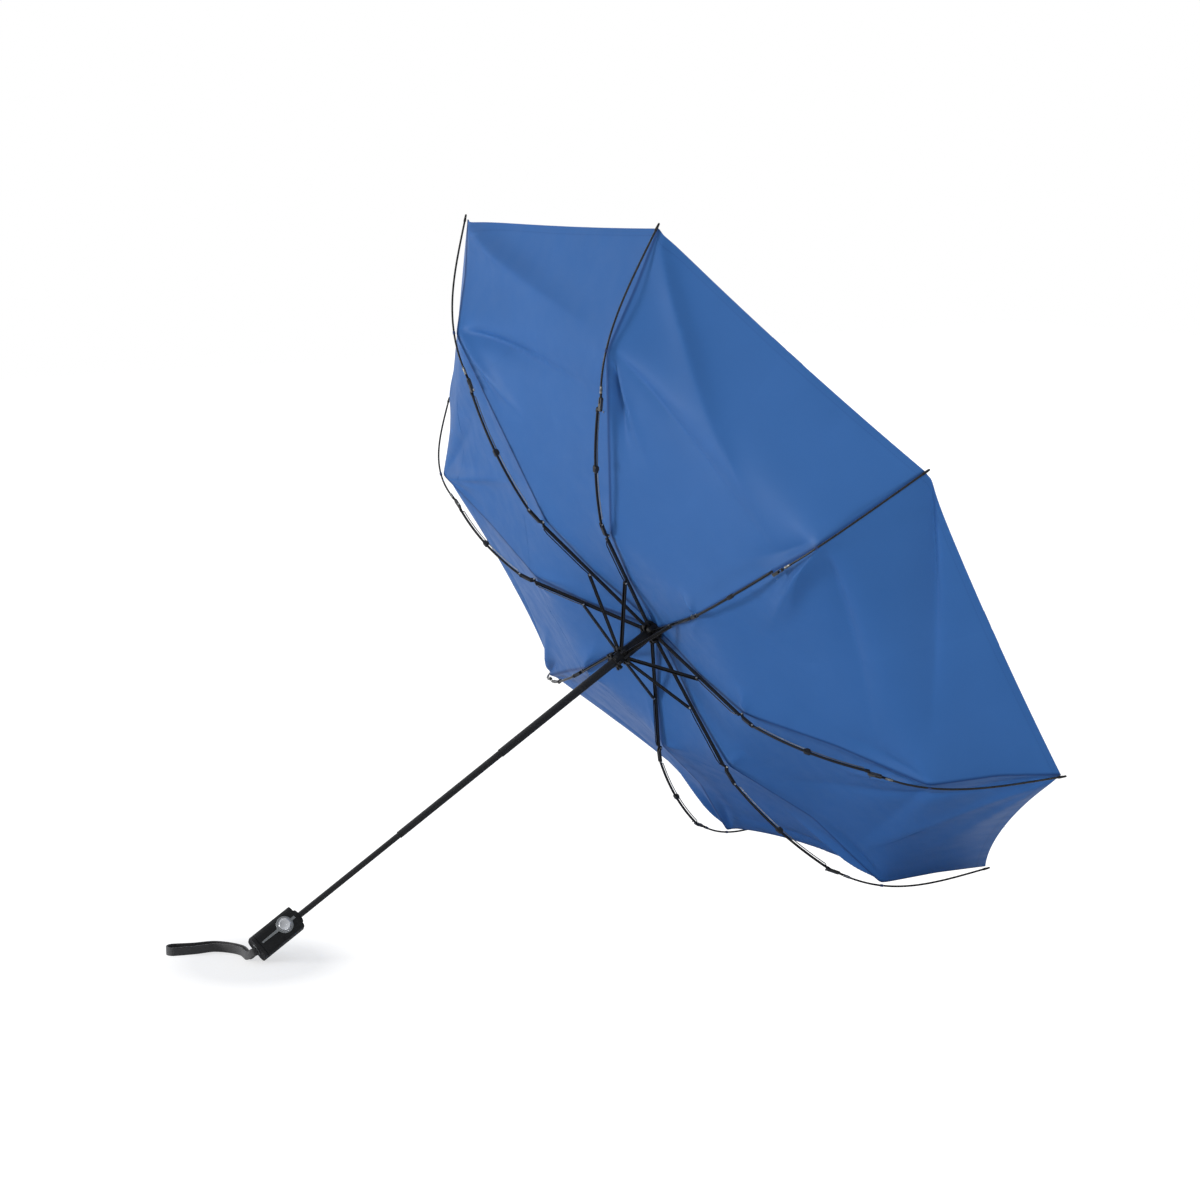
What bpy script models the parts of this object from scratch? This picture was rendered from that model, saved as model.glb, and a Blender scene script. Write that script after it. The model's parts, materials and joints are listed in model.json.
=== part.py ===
"""Windproof folding umbrella, blown inside out and lying on its handle and two rib tips.

The umbrella is modelled along its own shaft: local +Z runs from the handle to the crown and
local +X is the side that faces the floor. One empty then leans it to the pose in which the
lower edge of the handle and the tips of ribs 1 and 2 touch the floor at z = 0.

Each rib lies in its own plane through the shaft. In that plane a member is drawn along its
local X from its pivot, with local Z on the canopy side, and is then turned by its slope.
"""
import math

import bmesh
import bpy
from mathutils import Matrix, Vector

MM = 0.001

# Fits
GAP = 0.3 * MM
OVERRUN = 2.0 * MM
SLOT_PLAY = 0.4 * MM
WELD_DISTANCE = 0.01 * MM
SHARP_ANGLE = math.radians(35)
SOFT_ANGLE = math.radians(50)

# Ribs: number, pivots and slopes in the blown-out state
RIB_COUNT = 8
LOW_RIBS = (0, 1)
TOP_RIB_LENGTH = 171.3 * MM
KNUCKLE_LENGTH = 22.0 * MM
MIDDLE_RIB_LENGTH = 153.5 * MM
SOCKET_LENGTH = 14.0 * MM
OUTER_RIB_LENGTH = 201.5 * MM
STRETCHER_JOINT = 89.5 * MM
TOP_RIB_SLOPE = math.radians(-9.4)
KNUCKLE_SLOPE = math.radians(-6.0)
MIDDLE_RIB_SLOPE = math.radians(12.0)
SOCKET_SLOPE = math.radians(19.0)
OUTER_RIB_SLOPE = math.radians(38.3)
FLOOR_BEND = math.radians(16.0)

# Rib sections and joints
CHANNEL_WIDTH = 3.4 * MM
CHANNEL_DEPTH = 3.0 * MM
CHANNEL_WALL = 0.7 * MM
EYE_RADIUS = 2.2 * MM
PIN_RADIUS = 0.8 * MM
PIN_HOLE_RADIUS = PIN_RADIUS + GAP
RING_HOLE_RADIUS = PIN_RADIUS + 2 * GAP
HINGE_RADIUS = 1.6 * MM
LUG_THICKNESS = 1.6 * MM
FORK_GAP = LUG_THICKNESS + 2 * GAP
FORK_WIDTH = 4.2 * MM
PIN_LENGTH = FORK_WIDTH + 2 * GAP
STRETCHER_DROP = 3.6 * MM
KNUCKLE_RISE = 2.6 * MM
LINK_ROD_RADIUS = 0.7 * MM
LINK_ROD_DROP = 4.0 * MM
LINK_ROD_BEND_SHARE = 3.0
STRETCHER_DEPTH = 2.6 * MM
STRETCHER_FLOOR = 0.5 * MM
MIDDLE_ROD_RADIUS = 1.5 * MM
MIDDLE_ROD_SAG = 6.0 * MM
PULL_WIRE_RADIUS = 0.6 * MM
PULL_WIRE_RISE = 3.0 * MM
WIRE_END_SHARES = (0.7, 1.2)
WIRE_SHARES = (0.35, 0.65)
GUIDE_LENGTH = 9.0 * MM
GUIDE_WIDTH = 4.4 * MM
GUIDE_BELOW = 2.2 * MM
GUIDE_ABOVE = PULL_WIRE_RISE + 1.6 * PULL_WIRE_RADIUS
SOCKET_RADIUS = 1.9 * MM
SOCKET_WIDTH = 3.6 * MM
SOCKET_OFFSET = 3.8 * MM
SOCKET_FORK_GAP = 1.8 * MM
TONGUE_THICKNESS = SOCKET_FORK_GAP - 2 * GAP
OUTER_ROD_RADIUS = 1.15 * MM
OUTER_ROD_START = 4.2 * MM
FERRULE_RADIUS = 1.7 * MM
FERRULE_LENGTH = 14.0 * MM
TIE_LENGTH = 3.0 * MM
TIP_RADIUS = 1.9 * MM
TIP_LENGTH = 9.0 * MM
OUTER_START_SLOPE = math.radians(-26.0)
OUTER_END_SLOPE = math.radians(12.0)
OUTER_HANDLE_SHARE = 0.37
TIE_SHARE = 0.27
TIE_STEP_SHARE = 0.01

# Shaft, from the handle up
HANDLE_LENGTH = 56.0 * MM
HANDLE_WIDTH = 28.0 * MM
HANDLE_THICKNESS = 25.0 * MM
HANDLE_CORNER = 6.5 * MM
HANDLE_EDGE = 2.0 * MM
END_CAP_HEIGHT = 4.0 * MM
COLLAR_RADIUS = 6.2 * MM
COLLAR_HEIGHT = 4.0 * MM
COLLAR_STEP = 1.6 * MM
LOWER_TUBE_RADIUS = 3.4 * MM
MIDDLE_TUBE_RADIUS = 4.2 * MM
UPPER_TUBE_RADIUS = 5.0 * MM
TUBE_WALL = 0.5 * MM
TUBE_SEAT = 30.0 * MM
TUBE_OVERLAP = 25.0 * MM
LOWER_TUBE_SHOWN = 147.5 * MM
MIDDLE_TUBE_SHOWN = 154.5 * MM
UPPER_TUBE_SHOWN = 239.0 * MM

# Crown, runner and top cap
CROWN_PIVOT_RADIUS = 10.0 * MM
CROWN_RADIUS = 13.5 * MM
CROWN_BELOW = 6.5 * MM
CROWN_ABOVE = 7.0 * MM
CROWN_SLOT_ROOF = 3.2 * MM
CROWN_SLOT_WIDTH = CHANNEL_WIDTH + 2 * GAP + SLOT_PLAY
SLOT_ROOT_RADIUS = 7.3 * MM
NECK_RADIUS = 7.0 * MM
CROWN_NECK_LENGTH = 15.0 * MM
RUNNER_DROP = 45.4 * MM
RUNNER_PIVOT_RADIUS = 9.5 * MM
RUNNER_RING_RADIUS = 10.8 * MM
RUNNER_RING_HEIGHT = 8.0 * MM
RUNNER_FLANGE_RADIUS = 11.8 * MM
RUNNER_FLANGE_HEIGHT = 4.0 * MM
RUNNER_FLANGE_DROP = 15.0 * MM
RUNNER_SLOT_WIDTH = FORK_WIDTH + 2 * GAP + SLOT_PLAY
CAP_RADIUS = 15.0 * MM
CAP_HEIGHT = 6.0 * MM
CAP_STEM_LENGTH = 8.0 * MM
CAP_STEM_RADIUS = UPPER_TUBE_RADIUS - TUBE_WALL - GAP

# Button and its bezel
BUTTON_TURN = math.radians(-127.5)
BUTTON_RADIUS = 6.6 * MM
BUTTON_HEIGHT = 6.0 * MM
BUTTON_PROUD = 2.2 * MM
BUTTON_TRAVEL = 1.6 * MM
BUTTON_EDGE = 0.8 * MM
BUTTON_PLACE_SHARE = 0.66
BEZEL_RING = 0.9 * MM
BEZEL_STRIPE = 2.2 * MM
BEZEL_THICKNESS = 1.0 * MM
BEZEL_SUNK = 0.6 * MM
BEZEL_MARGIN = 3.0 * MM
BEZEL_SHOULDER = math.radians(28)
BEZEL_TAIL_SHARE = 2.0

# Wrist strap
STRAP_WIDTH = 9.5 * MM
STRAP_THICKNESS = 1.1 * MM
STRAP_PLY_GAP = 2.4 * MM
STRAP_LOOP_GAP = 16.0 * MM
STRAP_SLOT_PLAY = 0.6 * MM
STRAP_SLOT_LENGTH = STRAP_WIDTH + 2 * GAP + STRAP_SLOT_PLAY
STRAP_SLOT_WIDTH = STRAP_PLY_GAP + STRAP_THICKNESS + 2 * GAP
STRAP_SLOT_DEPTH = 3.2 * MM
STRAP_FLOOR_GAP = 0.4 * MM
STRAP_ROUTE = [(-9.5 * MM, 13.0 * MM), (-6.5 * MM, 37.0 * MM), (-13.0 * MM, 66.0 * MM),
               (-38.0 * MM, 80.0 * MM), (-72.0 * MM, 86.0 * MM)]
STRAP_STEPS = 3
STRAP_BEND_STEPS = 6

# Canopy
CANOPY_THICKNESS = 0.6 * MM
CANOPY_HOLE_RADIUS = 9.0 * MM
CANOPY_OVER_RIB = 6.2 * MM
CANOPY_OVER_TIE = 3.6 * MM
CANOPY_OVER_TIP = 3.0 * MM
CANOPY_CORNER_INSET = 8.5 * MM
CANOPY_BILLOW = 6.0 * MM
SEAM_RISE = 2.0 * MM
LOW_SEAM_RISE = 12.0 * MM
HEM_HOLLOW = 3.0 * MM
LOOSE_HEM_HOLLOW = 13.0 * MM
LOOSE_PANEL = 7

# Grid of a canopy panel: columns between two ribs, and the rows that lie over fixed places
PANEL_COLUMNS = 9
EDGE_ROWS = 3
CAP_ROW = 1
TIE_ROW = 4
TIP_ROW = TIE_ROW + EDGE_ROWS

# Folds of a panel: the row and share across where each starts and ends, and its height
CANOPY_FOLD = 7.0 * MM
FOLD_SHARES = [(TIP_ROW, 0, TIE_ROW, 1, -1.0), (TIE_ROW, 0, CAP_ROW, 1, 0.6)]

# Lean of the shaft is looked for between these
LEAN_RANGE = (math.radians(10), math.radians(60))

RIB_STEP = 2 * math.pi / RIB_COUNT
CROWN_HEIGHT = (HANDLE_LENGTH + COLLAR_HEIGHT + LOWER_TUBE_SHOWN + MIDDLE_TUBE_SHOWN
                + UPPER_TUBE_SHOWN)


# Scene set-up and materials

def clear_scene():
    for obj in list(bpy.data.objects):
        bpy.data.objects.remove(obj, do_unlink=True)


def make_material(name, colour, roughness, metallic=0.0):
    material = bpy.data.materials.new(name)
    material.use_nodes = True
    shader = material.node_tree.nodes["Principled BSDF"]
    shader.inputs["Base Color"].default_value = (*colour, 1.0)
    shader.inputs["Roughness"].default_value = roughness
    shader.inputs["Metallic"].default_value = metallic
    return material


def make_materials():
    return {
        "grip": make_material("black_rubber_grip", (0.015, 0.015, 0.016), 0.75),
        "plastic": make_material("black_plastic", (0.02, 0.02, 0.021), 0.45),
        "black_steel": make_material("black_coated_steel", (0.018, 0.018, 0.019), 0.35, 0.4),
        "steel": make_material("bright_steel", (0.55, 0.55, 0.56), 0.28, 1.0),
        "chrome": make_material("silver_button", (0.62, 0.63, 0.65), 0.25, 0.9),
        "bezel": make_material("grey_bezel", (0.16, 0.17, 0.18), 0.4, 0.2),
        "fabric": make_material("blue_pongee", (0.065, 0.15, 0.40), 0.6),
        "webbing": make_material("black_webbing", (0.016, 0.016, 0.017), 0.8),
    }


def add_empty(name, parent=None, location=(0, 0, 0), rotation=(0, 0, 0)):
    empty = bpy.data.objects.new(name, None)
    empty.empty_display_size = CROWN_RADIUS
    empty.location = location
    empty.rotation_euler = rotation
    empty.parent = parent
    COLLECTION.objects.link(empty)
    return empty


def place(name, mesh, parent, location=(0, 0, 0), rotation=(0, 0, 0)):
    """Put a mesh in the scene as one named sub-part."""
    obj = bpy.data.objects.new(name, mesh)
    obj.location = location
    obj.rotation_euler = rotation
    obj.parent = parent
    COLLECTION.objects.link(obj)
    return obj


# Solids: each function returns a loose work object that is joined, cut and then placed

def work_object(mesh):
    obj = bpy.data.objects.new("work", mesh)
    bpy.context.scene.collection.objects.link(obj)
    return obj


def drop(obj):
    bpy.data.objects.remove(obj, do_unlink=True)


def evaluated_mesh(obj):
    bpy.context.view_layer.update()
    graph = bpy.context.evaluated_depsgraph_get()
    return bpy.data.meshes.new_from_object(obj.evaluated_get(graph))


def weld(mesh):
    shape = bmesh.new()
    shape.from_mesh(mesh)
    bmesh.ops.remove_doubles(shape, verts=shape.verts, dist=WELD_DISTANCE)
    bmesh.ops.recalc_face_normals(shape, faces=shape.faces)
    shape.to_mesh(mesh)
    shape.free()
    return mesh


def curve_solid(curve, matrix=None):
    """Turn a curve into a closed mesh work object."""
    source = bpy.data.objects.new("guide", curve)
    bpy.context.scene.collection.objects.link(source)
    mesh = weld(evaluated_mesh(source))
    if matrix is not None:
        mesh.transform(matrix)
    drop(source)
    return work_object(mesh)


def plate(outlines, thickness, across=0.0):
    """A flat piece: outlines drawn in the rib plane (x, z), thick along y."""
    curve = bpy.data.curves.new("outline", 'CURVE')
    curve.dimensions = '2D'
    curve.fill_mode = 'BOTH'
    curve.extrude = thickness / 2
    for outline in outlines:
        spline = curve.splines.new('POLY')
        spline.points.add(len(outline) - 1)
        for point, (x, z) in zip(spline.points, outline):
            point.co = (x, z, 0, 1)
        spline.use_cyclic_u = True
    stand = Matrix.Translation((0, across, 0)) @ Matrix.Rotation(math.pi / 2, 4, 'X')
    return curve_solid(curve, stand)


def rod(points, radius, resolution=0):
    """A round bar or wire through the points."""
    curve = bpy.data.curves.new("path", 'CURVE')
    curve.dimensions = '3D'
    curve.bevel_depth = radius
    curve.bevel_resolution = resolution
    curve.use_fill_caps = True
    spline = curve.splines.new('POLY')
    spline.points.add(len(points) - 1)
    for point, co in zip(spline.points, points):
        point.co = (*co, 1)
    return curve_solid(curve)


def cylinder(radius, start, end, sides=6):
    """A round bar from one point to another."""
    start = Vector(start)
    end = Vector(end)
    along = end - start
    bpy.ops.mesh.primitive_cylinder_add(vertices=sides, radius=radius, depth=along.length)
    obj = bpy.context.active_object
    turn = along.to_track_quat('Z', 'Y').to_matrix().to_4x4()
    obj.data.transform(Matrix.Translation((start + end) / 2) @ turn)
    return obj


def cross_pin(x, z, length, radius=PIN_RADIUS, across=0.0, sides=6):
    """A pin or hole across the rib plane, centred on it or moved sideways."""
    return cylinder(radius, (x, across - length / 2, z), (x, across + length / 2, z), sides)


def block(low, high):
    bpy.ops.mesh.primitive_cube_add(size=1)
    obj = bpy.context.active_object
    low = Vector(low)
    high = Vector(high)
    size = high - low
    obj.data.transform(Matrix.Translation((low + high) / 2) @ Matrix.Diagonal((*size, 1)))
    return obj


def turned(profile, steps):
    """A profile of (radius, height) points, top to bottom on its outer side, turned about z."""
    shape = bmesh.new()
    ring = [shape.verts.new((radius, 0, height)) for radius, height in profile]
    for a, b in zip(ring, ring[1:] + ring[:1]):
        shape.edges.new((a, b))
    mesh = bpy.data.meshes.new("profile")
    shape.to_mesh(mesh)
    shape.free()
    obj = work_object(mesh)
    screw = obj.modifiers.new("turn", 'SCREW')
    screw.steps = steps
    screw.render_steps = steps
    screw.use_merge_vertices = True
    screw.merge_threshold = WELD_DISTANCE
    screw.use_normal_calculate = True
    solid = work_object(weld(evaluated_mesh(obj)))
    drop(obj)
    return solid


def combine(base, tools, operation):
    """Join or cut a work object with others, which are used up."""
    for tool in tools:
        step = base.modifiers.new("step", 'BOOLEAN')
        step.operation = operation
        step.object = tool
    mesh = evaluated_mesh(base)
    for tool in tools:
        drop(tool)
    drop(base)
    return work_object(mesh)


def join(base, *tools):
    return combine(base, tools, 'UNION')


def cut(base, *tools):
    return combine(base, tools, 'DIFFERENCE')


def finish(obj, name, material, sharp_angle=SHARP_ANGLE):
    """Take the mesh out of a work object, with its material and smooth shading."""
    mesh = weld(obj.data)
    mesh.name = name
    mesh.materials.clear()
    mesh.materials.append(material)
    mesh.shade_smooth()
    mesh.set_sharp_from_angle(angle=sharp_angle)
    drop(obj)
    return mesh


# Outlines

def arc(centre, radius, start, end, steps=4):
    """Points on an arc, angles in radians."""
    points = []
    for i in range(steps + 1):
        angle = start + (end - start) * i / steps
        points.append((centre[0] + radius * math.cos(angle),
                       centre[1] + radius * math.sin(angle)))
    return points


def strip(points, radius, steps=4):
    """The outline of a flat link: a bent line made wide, with round ends."""
    path = [Vector(point) for point in points]
    right = []
    left = []
    for i, point in enumerate(path):
        before = (point - path[i - 1]).normalized() if i else None
        after = (path[i + 1] - point).normalized() if i + 1 < len(path) else None
        if before is None:
            angle = math.atan2(after.y, after.x)
            left += arc(point, radius, angle + math.pi, angle + math.pi / 2, steps // 2)
            right += arc(point, radius, angle + math.pi, angle + 3 * math.pi / 2, steps // 2)
        elif after is None:
            angle = math.atan2(before.y, before.x)
            left += arc(point, radius, angle + math.pi / 2, angle, steps // 2)
            right += arc(point, radius, angle - math.pi / 2, angle, steps // 2)
        else:
            middle = (before + after).normalized()
            side = Vector((-middle.y, middle.x)) * radius / middle.dot(after)
            left.append(tuple(point + side))
            right.append(tuple(point - side))
    return right + left[-2:0:-1]


def eyed_bar(length, half_depth, eye_radius, end_radius, steps=6):
    """The outline of a bar whose near end is a larger round eye."""
    lean = math.asin(half_depth / eye_radius)
    near = arc((0, 0), eye_radius, lean, 2 * math.pi - lean, steps)
    return near + arc((length, 0), end_radius, -math.pi / 2, math.pi / 2, steps // 2)


def rounded_rectangle(width, height, corner, steps=4):
    points = []
    for i, (sx, sz) in enumerate(((1, 1), (-1, 1), (-1, -1), (1, -1))):
        centre = (sx * (width / 2 - corner), sz * (height / 2 - corner))
        points += arc(centre, corner, i * math.pi / 2, (i + 1) * math.pi / 2, steps)
    return points


# Rib members, each drawn along x from its own pivot

def middle_rod_drop(share):
    """How far the middle rib bows to the handle side, at a share of its length."""
    return -MIDDLE_ROD_SAG * 4 * share * (1 - share)


def outer_rod_point(share):
    """A point of the outer rod, bent by the pull of the canopy: a cubic curve."""
    reach = OUTER_HANDLE_SHARE * OUTER_RIB_LENGTH
    start = Vector((0, 0))
    first = reach * Vector((math.cos(OUTER_START_SLOPE), math.sin(OUTER_START_SLOPE)))
    end = Vector((OUTER_RIB_LENGTH, 0))
    last = end - reach * Vector((math.cos(OUTER_END_SLOPE), math.sin(OUTER_END_SLOPE)))
    rest = 1 - share
    return (rest ** 3 * start + 3 * rest ** 2 * share * first + 3 * rest * share ** 2 * last
            + share ** 3 * end)


def top_rib_mesh(materials):
    """A steel channel from the crown, with the rod of the inner link along its handle side."""
    half = CHANNEL_DEPTH / 2
    bar_end = TOP_RIB_LENGTH - HINGE_RADIUS - half - 2 * GAP
    bar = plate([eyed_bar(bar_end, half, EYE_RADIUS, half)], CHANNEL_WIDTH)
    channel = block((EYE_RADIUS + half, CHANNEL_WALL - CHANNEL_WIDTH / 2, -half - OVERRUN),
                    (bar_end - CHANNEL_DEPTH, CHANNEL_WIDTH / 2 - CHANNEL_WALL,
                     half - CHANNEL_WALL))
    eye = cross_pin(0, 0, CHANNEL_WIDTH + 2 * OVERRUN, RING_HOLE_RADIUS, sides=8)
    bar = cut(bar, channel, eye)

    root = half - CHANNEL_WALL - CHANNEL_DEPTH / 3
    lug = plate([strip([(STRETCHER_JOINT, root), (STRETCHER_JOINT, -STRETCHER_DROP)],
                       HINGE_RADIUS - GAP / 2)], LUG_THICKNESS)
    link = rod([(STRETCHER_JOINT, 0, -STRETCHER_DROP + GAP),
                (STRETCHER_JOINT + LINK_ROD_BEND_SHARE * LINK_ROD_DROP, 0, -LINK_ROD_DROP),
                (bar_end - 3 * CHANNEL_DEPTH, 0, -LINK_ROD_DROP),
                (bar_end - CHANNEL_DEPTH, 0, -CHANNEL_DEPTH),
                (bar_end - half, 0, 0)], LINK_ROD_RADIUS)
    end_lug = plate([strip([(bar_end - CHANNEL_DEPTH, 0), (bar_end, 0),
                            (TOP_RIB_LENGTH, KNUCKLE_RISE)], HINGE_RADIUS - GAP)], LUG_THICKNESS)
    stretcher_pin = cross_pin(STRETCHER_JOINT, -STRETCHER_DROP, PIN_LENGTH)
    knuckle_pin = cross_pin(TOP_RIB_LENGTH, KNUCKLE_RISE, PIN_LENGTH)
    rib = join(bar, lug, link, end_lug, stretcher_pin, knuckle_pin)
    return finish(rib, "top_rib", materials["black_steel"])


def stretcher_mesh(length, materials):
    """A channel that opens towards the top rib when the umbrella is shut."""
    half = STRETCHER_DEPTH / 2
    bar = plate([eyed_bar(length, half, HINGE_RADIUS, half)], FORK_WIDTH)
    slot = FORK_GAP + 2 * GAP
    fork = block((-OVERRUN - HINGE_RADIUS, -slot / 2, -half - OVERRUN),
                 (HINGE_RADIUS + PIN_RADIUS, slot / 2, half + OVERRUN))
    trough = block((HINGE_RADIUS, -slot / 2, -half + STRETCHER_FLOOR),
                   (length - 2 * HINGE_RADIUS, slot / 2, half + OVERRUN))
    hole = cross_pin(0, 0, FORK_WIDTH + 2 * OVERRUN, PIN_HOLE_RADIUS)
    bar = cut(bar, fork, trough, hole)
    return finish(bar, "stretcher", materials["black_steel"])


def knuckle_mesh(materials):
    """The cranked lever between the top rib and the middle rib."""
    shoulder = HINGE_RADIUS + KNUCKLE_RISE
    body = plate([strip([(0, 0), (shoulder, -KNUCKLE_RISE), (KNUCKLE_LENGTH, -KNUCKLE_RISE)],
                        HINGE_RADIUS)], FORK_WIDTH)
    half = FORK_GAP / 2
    reach = 3 * HINGE_RADIUS
    near = block((-reach, -half, -reach), (shoulder - PIN_RADIUS, half, reach))
    far = block((KNUCKLE_LENGTH - reach, -half, -KNUCKLE_RISE - reach),
                (KNUCKLE_LENGTH + reach, half, -KNUCKLE_RISE + reach))
    holes = [cross_pin(x, z, FORK_WIDTH + 2 * OVERRUN, PIN_HOLE_RADIUS)
             for x, z in ((0, 0), (KNUCKLE_LENGTH, -KNUCKLE_RISE))]
    body = cut(body, near, far, *holes)
    return finish(body, "knuckle", materials["plastic"])


def middle_rib_mesh(materials):
    """A bowed rod with the outer rib's pull wire on its canopy side, held by a guide."""
    length = MIDDLE_RIB_LENGTH
    rod_start = 2 * HINGE_RADIUS
    steps = 5
    path = []
    for i in range(steps + 1):
        x = rod_start + (length - rod_start) * i / steps
        path.append((x, 0, middle_rod_drop(x / length)))
    bar = rod(path, MIDDLE_ROD_RADIUS, 1)
    inset = 2 * rod_start / length
    ends = [inset * share for share in WIRE_END_SHARES]
    shares = [*ends, *WIRE_SHARES, *(1 - end for end in reversed(ends))]
    wire = []
    for i, share in enumerate(shares):
        rise = 0 if i in (0, len(shares) - 1) else PULL_WIRE_RISE
        wire.append((share * length, 0, middle_rod_drop(share) + rise))
    pull_wire = rod(wire, PULL_WIRE_RADIUS)
    tongue_end = 2 * rod_start
    tongue = plate([strip([(0, 0), (tongue_end, middle_rod_drop(tongue_end / length))],
                          HINGE_RADIUS - GAP)], LUG_THICKNESS)
    knuckle_pin = cross_pin(0, 0, PIN_LENGTH)
    half = MIDDLE_ROD_RADIUS
    eye = plate([strip([(length - rod_start, middle_rod_drop(1 - rod_start / length)),
                        (length, 0)], HINGE_RADIUS)], 2 * (half - GAP / 3))
    pin_end = SOCKET_OFFSET + SOCKET_WIDTH / 2 + GAP
    socket_pin = cylinder(PIN_RADIUS, (length, 0, 0), (length, pin_end, 0))
    guide = block(((length - GUIDE_LENGTH) / 2, -GUIDE_WIDTH / 2, -MIDDLE_ROD_SAG - GUIDE_BELOW),
                  ((length + GUIDE_LENGTH) / 2, GUIDE_WIDTH / 2, -MIDDLE_ROD_SAG + GUIDE_ABOVE))
    rib = join(bar, pull_wire, tongue, eye, knuckle_pin, socket_pin, guide)
    return finish(rib, "middle_rib", materials["black_steel"])


def rib_socket_mesh(materials):
    """The short joint that folds the outer rib back along the middle one."""
    body = plate([strip([(0, 0), (SOCKET_LENGTH, 0)], SOCKET_RADIUS)], SOCKET_WIDTH)
    half = SOCKET_FORK_GAP / 2
    fork = block((SOCKET_LENGTH - 3 * SOCKET_RADIUS, -half, -2 * SOCKET_RADIUS),
                 (SOCKET_LENGTH + 2 * SOCKET_RADIUS, half, 2 * SOCKET_RADIUS))
    holes = [cross_pin(x, 0, SOCKET_WIDTH + 2 * OVERRUN, PIN_HOLE_RADIUS)
             for x in (0, SOCKET_LENGTH)]
    body = cut(body, fork, *holes)
    return finish(body, "rib_socket", materials["plastic"])


def outer_rib_mesh(materials):
    """A springy rod with its bright ferrule, the fabric tie and the tip cup."""
    steps = 8
    path = [outer_rod_point(i / steps) for i in range(steps + 1)]
    near = outer_rod_point(OUTER_ROD_START / (3 * OUTER_HANDLE_SHARE * OUTER_RIB_LENGTH))
    path[0] = near
    bar = rod([(point.x, 0, point.y) for point in path], OUTER_ROD_RADIUS, 1)
    along = near.normalized()
    ferrule_end = near + FERRULE_LENGTH * along
    ferrule = cylinder(FERRULE_RADIUS, (near.x, 0, near.y), (ferrule_end.x, 0, ferrule_end.y))
    tongue = plate([strip([(0, 0), tuple(near + SOCKET_RADIUS * along)],
                          SOCKET_RADIUS - 2 * GAP)], TONGUE_THICKNESS)
    pin = cross_pin(0, 0, SOCKET_WIDTH - GAP)
    tie_at = outer_rod_point(TIE_SHARE)
    tie_next = outer_rod_point(TIE_SHARE + TIE_STEP_SHARE)
    tie_along = (tie_next - tie_at).normalized() * TIE_LENGTH
    tie_end = tie_at + tie_along
    tie = cylinder(FERRULE_RADIUS, (tie_at.x, 0, tie_at.y), (tie_end.x, 0, tie_end.y))
    end = Vector((OUTER_RIB_LENGTH, 0))
    back = Vector((math.cos(OUTER_END_SLOPE), math.sin(OUTER_END_SLOPE))) * TIP_LENGTH
    tip = cylinder(TIP_RADIUS, (end.x - back.x, 0, end.y - back.y), (end.x, 0, end.y))
    rib = join(bar, ferrule, tongue, pin, tie, tip)
    return finish(rib, "outer_rib", materials["black_steel"])


# Rib layout in the rib plane, radius and height above the crown pivot

def heading(slope):
    return Vector((math.cos(slope), math.sin(slope)))


def canopy_side(slope):
    return Vector((-math.sin(slope), math.cos(slope)))


def rib_layout(bend):
    """Where each pivot of one rib lies, with its outer end lifted by the bend."""
    crown = Vector((CROWN_PIVOT_RADIUS, 0))
    top = heading(TOP_RIB_SLOPE)
    top_side = canopy_side(TOP_RIB_SLOPE)
    stretcher = crown + STRETCHER_JOINT * top - STRETCHER_DROP * top_side
    knuckle = crown + TOP_RIB_LENGTH * top + KNUCKLE_RISE * top_side
    middle = (knuckle + KNUCKLE_LENGTH * heading(KNUCKLE_SLOPE)
              - KNUCKLE_RISE * canopy_side(KNUCKLE_SLOPE))
    socket = middle + MIDDLE_RIB_LENGTH * heading(MIDDLE_RIB_SLOPE)
    outer = socket + SOCKET_LENGTH * heading(SOCKET_SLOPE + bend)
    tip = outer + OUTER_RIB_LENGTH * heading(OUTER_RIB_SLOPE + bend)
    return {"crown": crown, "stretcher": stretcher, "knuckle": knuckle, "middle": middle,
            "socket": socket, "outer": outer, "tip": tip}


def rib_bend(k):
    """How far the floor lifts the outer end of rib k."""
    return FLOOR_BEND if k in LOW_RIBS else 0


def seam_points(k):
    """The canopy's seam over rib k, a point for each row, clear of the members."""
    bend = rib_bend(k)
    layout = rib_layout(bend)
    knuckle = (layout["crown"] + TOP_RIB_LENGTH * heading(TOP_RIB_SLOPE)
               + CANOPY_OVER_RIB * canopy_side(TOP_RIB_SLOPE))
    slope = OUTER_RIB_SLOPE + bend
    along = heading(slope)
    outward = canopy_side(slope)
    tie = outer_rod_point(TIE_SHARE)
    tie_point = layout["outer"] + tie.x * along + (tie.y + CANOPY_OVER_TIE) * outward
    tip_point = layout["tip"] - CANOPY_CORNER_INSET * along + CANOPY_OVER_TIP * outward
    rise = LOW_SEAM_RISE if bend else SEAM_RISE
    points = [Vector((CANOPY_HOLE_RADIUS, CROWN_ABOVE + GAP + CANOPY_THICKNESS / 2)),
              Vector((CROWN_RADIUS + CROWN_ABOVE, CROWN_ABOVE + GAP)),
              knuckle,
              (knuckle + tie_point) / 2 + Vector((0, rise)),
              tie_point]
    for i in range(1, EDGE_ROWS + 1):
        points.append(tie_point.lerp(tip_point, i / EDGE_ROWS))
    return points


# Canopy

def fold_height(row, across):
    """The height of the main folds at a row of a panel and a share across it."""
    height = 0
    for start_row, start, end_row, end, fold_share in FOLD_SHARES:
        along = (row - start_row) / (end_row - start_row)
        if 0 < along < 1:
            columns_off = PANEL_COLUMNS * abs(across - start - (end - start) * along)
            height += fold_share * CANOPY_FOLD * max(0, 1 - columns_off)
    return height


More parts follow.
